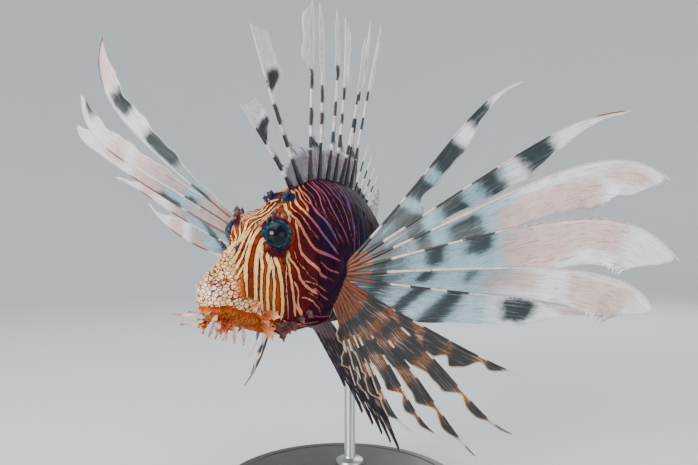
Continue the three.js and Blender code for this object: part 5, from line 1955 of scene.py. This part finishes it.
@dataclass
class MidlineFin:
    """A soft fin on the back or belly, clear with rows of dark spots."""

    form: BodyForm
    name: str
    node: str
    start: float
    end: float
    leans: tuple[float, float]
    lengths: tuple[float, float]
    belly: bool
    bulge: float
    joins: tuple[float, ...]
    count: int = 9
    root_depth: float = 2.5

    def rays(self) -> list[Ray]:
        """The fin's rays."""
        line = self.form.line
        rays = []
        for i in range(self.count):
            share = i / (self.count - 1)
            along = lerp(self.start, self.end, share)
            lean = angle_of(self.leans, share)
            side = -1 if self.belly else 1
            way = line.direction(along, math.sin(lean), 0, side * math.cos(lean))
            edge = self.form.bottom(along) if self.belly else self.form.top(along)
            length = lerp(*self.lengths, share) * (1 + self.bulge * math.sin(math.pi * share))
            join = self.joins[min(i, len(self.joins) - 1)]
            rays.append(
                Ray(
                    root=line.place(along, 0, edge) - way * self.root_depth,
                    way=way,
                    length=length + self.root_depth,
                    bow=way * 0,
                    curl=line.direction(along, 1, 0, 0) * 0.08,
                    radius=0.6,
                    width=3.0,
                    peak=0.3,
                    blunt=0.5,
                    join=join,
                    let_go=min(join + 0.16, 1.0),
                    dark=row_of_spots((0.16, 0.22), 0.15, 0.05 * (i % 2), 5, -1, 0.22),
                    milky=(0.3, 1.3),
                    tip_radius=0.22,
                )
            )
        return rays

    def build(self) -> list[bpy.types.Object]:
        """Builds the fin."""
        web = WebFinish(f"{self.name}_web", *CLEAR_WEB, thin=0.4, full=0.7, fine=0.8)
        rod = RayFinish(f"{self.name}_rod", *CLEAR_ROD, joint=1.0)
        fin = Fin(self.name, self.rays(), web.material(), rod.material(), rows=50, columns=8, sides=6)
        return fin.build("fin", self.node)


@dataclass
class TailFin:
    """The round tail fin, clear with rows of dark spots."""

    form: BodyForm
    count: int = 10
    length: float = 64.0
    spread: float = 46.0
    root_half: float = 9.5
    root_depth: float = 2.5

    def build(self) -> list[bpy.types.Object]:
        """Builds the tail fin."""
        line = self.form.line
        forward, _, up = line.axes(line.length)
        rays = []
        for i in range(self.count):
            share = i / (self.count - 1)
            turn = math.radians(lerp(self.spread, -self.spread, share) * 0.5)
            way = -forward * math.cos(turn) + up * math.sin(turn)
            root = line.place(line.length - self.root_depth, 0, lerp(self.root_half, -self.root_half, share))
            length = self.length * (0.86 + 0.14 * math.sin(math.pi * share)) + self.root_depth
            dark = row_of_spots((0.14, 0.19), 0.13, 0.04 * (i % 2), 6, -1, 0.3)
            rays.append(
                Ray(root, way, length, bow=up * 0, curl=up * 0, radius=0.65, width=2.5, peak=0.3, blunt=0.8,
                    join=0.86, let_go=1.0, dark=dark, milky=(0.3, 1.3), tip_radius=0.2)
            )
        web = WebFinish("tail_web", *CLEAR_WEB, thin=0.4, full=0.7, fine=0.8)
        rod = RayFinish("tail_rod", *CLEAR_ROD, joint=1.0)
        fin = Fin("tail_fin_fine", rays, web.material(), rod.material(), rows=70, columns=9, sides=6)
        return fin.build("fin", "tail_fin")


@dataclass
class PelvicFin:
    """One dark pelvic fin with pale spots."""

    form: BodyForm
    side: Side
    drops: tuple[float, float]
    sweeps: tuple[float, float]
    lengths: tuple[float, float]
    count: int = 6
    root_along: tuple[float, float] = (88.0, 97.0)
    root_out: tuple[float, float] = (4.0, 9.0)
    root_depth: float = 2.5

    def build(self) -> list[bpy.types.Object]:
        """Builds the fin."""
        line = self.form.line
        sign = self.side.value
        rays = []
        for i in range(self.count):
            share = i / (self.count - 1)
            along = lerp(*self.root_along, share)
            out = lerp(*self.root_out, share)
            drop, sweep = angle_of(self.drops, share), angle_of(self.sweeps, share)
            flat = math.cos(drop)
            back, aside = flat * math.sin(sweep), sign * flat * math.cos(sweep)
            way = line.direction(along, back, aside, -math.sin(drop))
            root = line.place(along, sign * out, self.form.belly(along, out)) - way * self.root_depth
            length = lerp(*self.lengths, share**0.5) + self.root_depth
            pale = row_of_spots((0.2, 0.26), 0.17, 0.04 * (i % 3), 4, 0.25, 0.6)
            rays.append(
                Ray(root, way, length, bow=way * 0, curl=np.array([0, 0, -0.03]), radius=0.9, width=7.0,
                    peak=0.6, blunt=0.2, join=0.66, let_go=0.84, ruffle=1.4, warm=pale, milky=(2.0, 3.0),
                    tip_radius=0.25)
            )
        web = WebFinish(f"pelvic_web_{self.side.word}", *PELVIC_WEB, thin=0.93, full=1.0)
        rod = RayFinish(f"pelvic_rod_{self.side.word}", *PELVIC_ROD)
        fin = Fin(f"pelvic_{self.side.word}", rays, web.material(), rod.material(), rows=70, columns=9)
        return fin.build("dark_fin", f"pelvic_fin_{self.side.word}")


@dataclass(frozen=True)
class Leaf:
    """A cirrus: where it is rooted (along, out, up), which way it points (back, out, up) and how it bends."""

    at: tuple[float, float, float]
    way: tuple[float, float, float]
    length: float
    width: float
    bend: tuple[float, float, float] = (0.0, 0.0, 0.0)
    lobes: float = 3
    cut: float = 0.35
    curl: float = 0.35


@dataclass
class Cirri:
    """The head's fleshy cirri of one kind, on both sides. Colours: the root, middle, tip and flecks."""

    form: BodyForm
    kind: str
    colours: tuple[str, str, str, str]
    leaves: tuple[Leaf, ...]
    nodes: tuple[str, ...] = ()
    rows: int = 22
    columns: int = 9
    sunk: float = 1.6
    half: float = 0.32

    def add_leaf(self, piece: Piece, leaf: Leaf, side: Side, number: int) -> None:
        """Adds one leaf on one side."""
        line = self.form.line
        along, out, up = leaf.at
        sign = side.value
        way = line.direction(along, leaf.way[0], leaf.way[1] * sign, leaf.way[2])
        forward, left, top = line.axes(along)
        bend = -forward * leaf.bend[0] + left * leaf.bend[1] * sign + top * leaf.bend[2]
        root = line.place(along, out * sign, up) - way * self.sunk
        across = square_to(line.direction(along, 1, 0.05 * sign, 0.4), way)
        thick = np.cross(way, across)
        length = leaf.length + self.sunk
        t = np.linspace(0, 1, self.rows)[:, None]
        v = np.linspace(-1, 1, self.columns)[None, :]
        taper = 0.55 + 0.75 * np.sin(np.pi * np.clip(t * 0.85, 0, 1)) ** 0.8
        taper = taper * (1 - smoothstep(t, 0.72, 1.0) * 0.9)
        lobes = 0.5 + 0.5 * np.cos(WHOLE_TURN * leaf.lobes * t + number + np.sign(v))
        width = leaf.width / 2 * taper * (1 - leaf.cut * lobes * np.abs(v) ** 2)
        jitter = 0.35 * np.sin(3 * t + number) * t
        points = (
            root
            + way * (length * t * (1 - 0.10 * np.abs(v) ** 2 * smoothstep(t, 0.7, 1)))[..., None]
            + bend * (length * t**2)[..., None]
            + across * (v * width + jitter)[..., None]
            + thick * (leaf.curl * width * v**2 + 0.4 * np.sin(5 * t + 2 * v + number) * t)[..., None]
        )
        place = np.stack(np.broadcast_arrays(t * length, v * width + 17 * number, 9.0 * sign), axis=-1)
        half = self.half * (1 - 0.6 * t) * (1 - 0.5 * np.abs(v))
        piece.sheet(points, half + 0.06, run=t + 0 * v, place_web=place)

    def build(self) -> bpy.types.Object:
        """Builds the cirri of both sides as one piece."""
        piece = Piece(f"cirri_{self.kind}")
        for side in Side:
            for number, leaf in enumerate(self.leaves):
                self.add_leaf(piece, leaf, side, number)
        finish = FringeFinish(f"cirrus_{self.kind}", *self.colours)
        return install(piece.build(finish.material()), "skin", *self.nodes)


def tuft(middle: tuple[float, float, float], count: int, length: float, width: float) -> tuple[Leaf, ...]:
    """Short curly leaves that stand out from a middle over its lower front half.

    Args:
        middle: The middle, as along, out and up.
        count: How many leaves there are.
        length: The longest leaf's length, in millimetres.
        width: A leaf's width.

    Returns:
        The leaves.
    """
    golden = math.pi * (3 - math.sqrt(5))
    leaves = []
    for k in range(count):
        tilt = math.acos(1 - 0.95 * (k + 0.5) / count)
        a, b = math.sin(tilt) * math.cos(golden * k), math.sin(tilt) * math.sin(golden * k)
        way = (-0.45 + 0.9 * a, 0.55 + 0.6 * b, -0.7 + 0.5 * a - 0.4 * b)
        at = (middle[0] + 1.8 * a, middle[1] + 1.2 * b, middle[2] - 1.2 * b)
        bend = (0.5 * math.sin(3.0 * k), 0.3 * math.cos(2.0 * k), 0.5 * math.cos(5.0 * k))
        leaves.append(Leaf(at, way, length * (0.7 + 0.3 * math.cos(7.0 * k)), width, bend, 2.5, 0.65, 0.8))
    return tuple(leaves)


TUFT_LEAVES = tuft((9.0, 5.6, -17.0), 24, 5.0, 2.6) + tuft((28.0, 11.4, -15.5), 7, 3.4, 2.0)
ORANGE_LEAVES = (
    Leaf((23, 11.5, -11), (-0.4, 0.9, -0.1), 4.0, 3.0, (0, 0, -0.3), 3, 0.6),
    Leaf((24, 12, -12), (0.2, 0.9, 0.3), 3.4, 2.4, (0, 0, 0.3), 3, 0.6),
    Leaf((25, 12, -13), (0.1, 0.9, -0.5), 3.6, 2.4, (0, 0, -0.2), 3, 0.6),
    Leaf((30, 11.8, -16.5), (0.35, 0.85, -0.4), 9, 5, (0.2, 0, 0.1), 4, 0.5),
    Leaf((33, 10.5, -20.5), (-0.15, 0.4, -0.9), 12, 6.5, (0.1, 0, 0), 5, 0.5),
    Leaf((31, 11, -18), (-0.3, 0.8, -0.6), 6, 3.6, (0, 0, -0.1), 3, 0.5),
    Leaf((6, 5, -6), (-0.6, 0.8, -0.1), 3.4, 1.4, (0, 0, -0.3), 3, 0.5),
    Leaf((4, 3, 2), (-0.9, 0.4, 0.1), 3.0, 1.3, (0, 0, -0.3), 3, 0.5),
)
DARK_LEAVES = (
    Leaf((42, 11.5, -25), (0, 0.4, -0.9), 10, 5.5, (0, 0, 0), 5, 0.5),
    Leaf((45, 13, -26), (0.2, 0.5, -0.8), 6, 4.2, (0.1, 0, 0), 4, 0.5),
    Leaf((49, 14, -25.5), (0.15, 0.6, -0.8), 6, 4.5, (0, 0, 0), 4, 0.5),
    Leaf((54, 16.5, -23.5), (0.3, 0.5, -0.8), 4.5, 3.5, (0, 0, 0), 4, 0.5),
    Leaf((58, 18.5, -21), (0.5, 0.5, -0.7), 4.5, 3.5, (0, 0, -0.2), 3, 0.5),
)
HORN_LEAVES = (
    Leaf((60, 5, 37.5), (0.05, 0.15, 0.98), 4, 5, (0.1, 0, 0), 2, 0.3),
    Leaf((57, 6, 36.5), (-0.2, 0.3, 0.9), 2.6, 2.6, (0, 0, 0), 2, 0.3),
    Leaf((21.5, 4, 16.5), (-0.5, 0.45, 0.75), 4.5, 2.4, (0.4, 0, 0), 3, 0.4),
)
BROW_LEAVES = (
    Leaf((41, 11.5, 29.5), (0.3, 0.3, 0.9), 5.5, 4, (-0.15, 0, 0), 3, 0.5),
    Leaf((38, 10.5, 28.5), (0.1, 0.4, 0.9), 3.0, 2.2, (0, 0, 0), 2, 0.5),
    Leaf((45, 12, 30.5), (0.4, 0.3, 0.9), 2.8, 2.2, (0.1, 0, 0), 2, 0.5),
)
BARBELS = (
    Leaf((5, 4.5, -12.5), (-0.8, 0.55, -0.2), 13, 2.2, (0, 0.1, 0.2), 5, 0.35),
    Leaf((7.5, 4, -16), (-0.75, 0.5, -0.35), 12.5, 2.4, (0, 0.1, 0.2), 5, 0.35),
    Leaf((4, 2.5, -11), (-0.95, 0.3, -0.1), 8, 1.6, (0, 0, 0.2), 4, 0.35),
    Leaf((12, 4, -20), (-0.15, 0.25, -0.95), 6.5, 1.7, (-0.15, 0, 0), 3, 0.3),
    Leaf((17, 4.5, -22), (-0.15, 0.25, -0.95), 7, 1.7, (-0.15, 0, 0), 3, 0.3),
    Leaf((23, 5, -24), (-0.1, 0.25, -0.95), 7.5, 1.7, (-0.2, 0, 0), 3, 0.3),
)


BROW_NODES = ("brow_tentacle_left", "brow_tentacle_right")
CIRRI_KINDS = (
    ("curly", ("#8a2404", "#b43c06", "#d86a20", "#5c1202"), TUFT_LEAVES, ()),
    ("orange", ("#a03c10", "#cc6420", "#f2c698", "#7c200a"), ORANGE_LEAVES, ()),
    ("maroon", ("#5a1a1c", "#3a1420", "#7c3030", "#b86a4c"), DARK_LEAVES, ()),
    ("horn", ("#2a2236", "#16243c", "#2c3448", "#6a4a48"), HORN_LEAVES, ()),
    ("brow", ("#7c2a1c", "#30202c", "#3c3040", "#c08068"), BROW_LEAVES, BROW_NODES),
    ("barbel", ("#d8906c", "#efd2c4", "#a84c48", "#8c3430"), BARBELS, ()),
)

# The small radius that the base's and the rod's profiles keep off the axis, in millimetres.
AXIS_GAP = (1.0, 0.8)
# Corners of the base: how far inward from the rim, then how far up from the foot or down from shoulder and top.
BASE_FOOT = ((1.2, 0.0), (0.6, 0.25), (0.2, 0.8), (0.0, 1.6))
BASE_GROOVE = ((0.0, 1.6), (0.5, 1.3), (0.5, 0.7), (0.1, 0.4))
BASE_RING = ((7.0, 0.0), (7.4, 0.35), (8.0, 0.35), (8.4, 0.0))
# Corners at the rod's foot: inward from the collar's edge, or outward from the rod at its neck, then up.
COLLAR = ((0.3, 0.0), (0.0, 0.4), (0.0, 2.6), (0.4, 3.2), (1.4, 3.8))
NECK = ((1.6, 4.0), (0.6, 4.6), (0.0, 6.0))


@dataclass
class Stand:
    """The turned base and the rod, sized from the part's own nodes."""

    base_sides: int = 160
    rod_sides: int = 64
    edge: float = 2.5
    edge_inset: float = 0.1
    rod_radius: float = 3.5
    rod_overlap: float = 1.0
    sharp_angle: float = 0.6

    def turned(
        self, name: str, finish: bpy.types.Material, profile: Places, sides: int, centre: tuple[float, float]
    ) -> bpy.types.Object:
        """A closed turned piece with sharp corners.

        Args:
            name: The piece's name.
            finish: Its material.
            profile: Radius and height at each corner, from the foot to the top, off the axis.
            sides: How many sides it has.
            centre: Where its axis stands.

        Returns:
            The object.
        """
        turn = np.linspace(0, WHOLE_TURN, sides, endpoint=False)
        radius, height = np.asarray(profile, float).T[:, :, None]
        x, y = centre
        points = np.stack([x + radius * np.cos(turn), y + radius * np.sin(turn), height + 0 * turn], axis=-1)
        number = np.arange(sides)[None, :]
        ends = [number[:, ::-1], number + (len(profile) - 1) * sides]
        flat = points.reshape(-1, 3)
        piece = Piece(name)
        piece.add(flat, [grid_faces(len(profile), sides, True, True), *ends], place_web=flat)
        turned = piece.build(finish)
        turned.data.set_sharp_from_angle(angle=self.sharp_angle)
        return turned

    def base(self) -> bpy.types.Object:
        """The base, with a groove under its rounded edge and a ring on its top."""
        low, high = (np.array(corner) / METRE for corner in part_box("stand_base"))
        radius, height = (high[0] - low[0]) / 2, high[2]
        shoulder = height - self.edge
        profile = [(AXIS_GAP[0], 0.0)]
        profile += [(radius - inward, up) for inward, up in BASE_FOOT]
        profile += [(radius - inward, shoulder - down) for inward, down in BASE_GROOVE]
        for angle in range(0, 91, 10):
            a = math.radians(angle)
            inward = radius - self.edge_inset - self.edge * (1 - math.cos(a))
            profile.append((inward, shoulder + self.edge * math.sin(a)))
        profile += [(radius - inward, height - down) for inward, down in BASE_RING]
        profile.append((AXIS_GAP[0], height))
        return self.turned("base_turned", StandFinish().material(), profile, self.base_sides, (0.0, 0.0))

    def rod(self) -> bpy.types.Object:
        """The rod, with a collar and a neck at its foot."""
        low, high = (np.array(corner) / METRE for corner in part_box("stand_rod"))
        centre = ((low[0] + high[0]) / 2, (low[1] + high[1]) / 2)
        collar, foot, top = (high[0] - low[0]) / 2, low[2], high[2] + self.rod_overlap
        profile = [(AXIS_GAP[1], foot)]
        profile += [(collar - inward, foot + up) for inward, up in COLLAR]
        profile += [(self.rod_radius + outward, foot + up) for outward, up in NECK]
        profile += [(self.rod_radius, top), (AXIS_GAP[1], top)]
        return self.turned("rod_brushed", SteelFinish().material(), profile, self.rod_sides, centre)

    def build(self) -> list[bpy.types.Object]:
        """Builds the base and the rod."""
        pieces = {"stand_base": self.base(), "stand_rod": self.rod()}
        return [install(piece, node, node) for node, piece in pieces.items()]


@dataclass(frozen=True)
class Lamp:
    """A soft square light: its place and size in metres, and its power in watts."""

    name: str
    place: tuple[float, float, float]
    size: float
    watts: float


@dataclass
class Studio:
    """The pale floor that curves up far behind, soft lights and the camera at the photograph's view."""

    eye: tuple[float, float, float] = (0.005, -0.395, 0.1634)
    field: float = math.radians(56.6)
    floor_flat: float = 1.3
    floor_reach: float = 2.6
    floor_rise: float = 1.9
    floor_steps: int = 40
    floor_sides: int = 96
    world_colour: str = "#e4ecf2"
    world_strength: float = 0.6
    middle: tuple[float, float, float] = (0.0, 0.0, 0.15)
    lamps: tuple[Lamp, ...] = (
        Lamp("key_soft", (-0.75, -0.95, 0.55), 0.55, 20),
        Lamp("fill_soft", (0.9, -0.7, 0.2), 0.9, 4),
        Lamp("back_soft", (0.5, 1.0, 0.7), 0.8, 4),
        Lamp("top_soft", (-0.2, -0.3, 1.3), 0.9, 6),
    )

    def floor(self) -> None:
        """A round floor that curves up to a low wall."""
        bend = np.linspace(0, 1, self.floor_steps) * np.pi / 2
        radius = np.concatenate([[0.02, 0.6], lerp(self.floor_flat, self.floor_reach, np.sin(bend))])[:, None]
        height = np.concatenate([[0, 0], self.floor_rise * (1 - np.cos(bend))])[:, None]
        turn = np.linspace(0, WHOLE_TURN, self.floor_sides, endpoint=False)
        points = np.stack([radius * np.cos(turn), radius * np.sin(turn), height + 0 * turn], axis=-1)
        faces = [grid_faces(len(radius), self.floor_sides, True, False), np.arange(self.floor_sides)[None, :]]
        piece = Piece("studio_floor")
        piece.add(points.reshape(-1, 3) / METRE, faces)
        floor = piece.build(FloorFinish().material())
        log.info("%s: staged", floor.name)

    def light(self, lamp: Lamp) -> None:
        """Adds one soft square light, aimed at the middle of the fish."""
        glow = bpy.data.lights.new(lamp.name, "AREA")
        glow.shape = "SQUARE"
        glow.size = lamp.size
        glow.energy = lamp.watts
        holder = bpy.data.objects.new(lamp.name, glow)
        bpy.context.scene.collection.objects.link(holder)
        holder.location = lamp.place
        holder.rotation_euler = (Vector(self.middle) - Vector(lamp.place)).to_track_quat("-Z", "Y").to_euler()

    def camera(self) -> None:
        """Sets the camera, level and looking along +Y."""
        lens = bpy.data.cameras.new("portrait_camera")
        lens.sensor_width = 36.0
        lens.angle = self.field
        lens.clip_start = 0.01
        holder = bpy.data.objects.new("portrait_camera", lens)
        bpy.context.scene.collection.objects.link(holder)
        holder.location = self.eye
        holder.rotation_euler = (math.pi / 2, 0.0, 0.0)
        bpy.context.scene.camera = holder

    def build(self) -> None:
        """Sets up the studio."""
        self.floor()
        world = bpy.data.worlds.new("studio_world")
        world.use_nodes = True
        sky = world.node_tree.nodes["Background"].inputs
        sky["Color"].default_value = linear(self.world_colour)
        sky["Strength"].default_value = self.world_strength
        bpy.context.scene.world = world
        for lamp in self.lamps:
            self.light(lamp)
        self.camera()


def main() -> None:
    """Builds the fish, its stand and the studio, and reports each piece."""
    logging.basicConfig(level=logging.INFO, format="%(name)s: %(message)s")
    form = BodyForm()
    Body(form).build()
    for side in Side:
        Eye(form, side).build()
        PectoralFan(form, side).build()
    SpinyDorsal(form).build()
    MidlineFin(
        form, "soft_dorsal", "dorsal_fin_soft", start=165, end=203, leans=(42, 64), lengths=(38, 30),
        belly=False, bulge=0.12, joins=(0.84,),
    ).build()
    MidlineFin(
        form, "anal", "anal_fin", start=160, end=201, leans=(38, 64), lengths=(22, 30),
        belly=True, bulge=0.35, joins=(0.42, 0.64, 0.64, 0.84),
    ).build()
    TailFin(form).build()
    PelvicFin(form, Side.LEFT, drops=(57, 56), sweeps=(70, 49), lengths=(46, 92)).build()
    PelvicFin(form, Side.RIGHT, drops=(20, 12), sweeps=(85, 74), lengths=(42, 70)).build()
    for kind, colours, leaves, nodes in CIRRI_KINDS:
        Cirri(form, kind, colours, leaves, nodes).build()
    Stand().build()
    Studio().build()


if __name__ == "__main__":
    main()
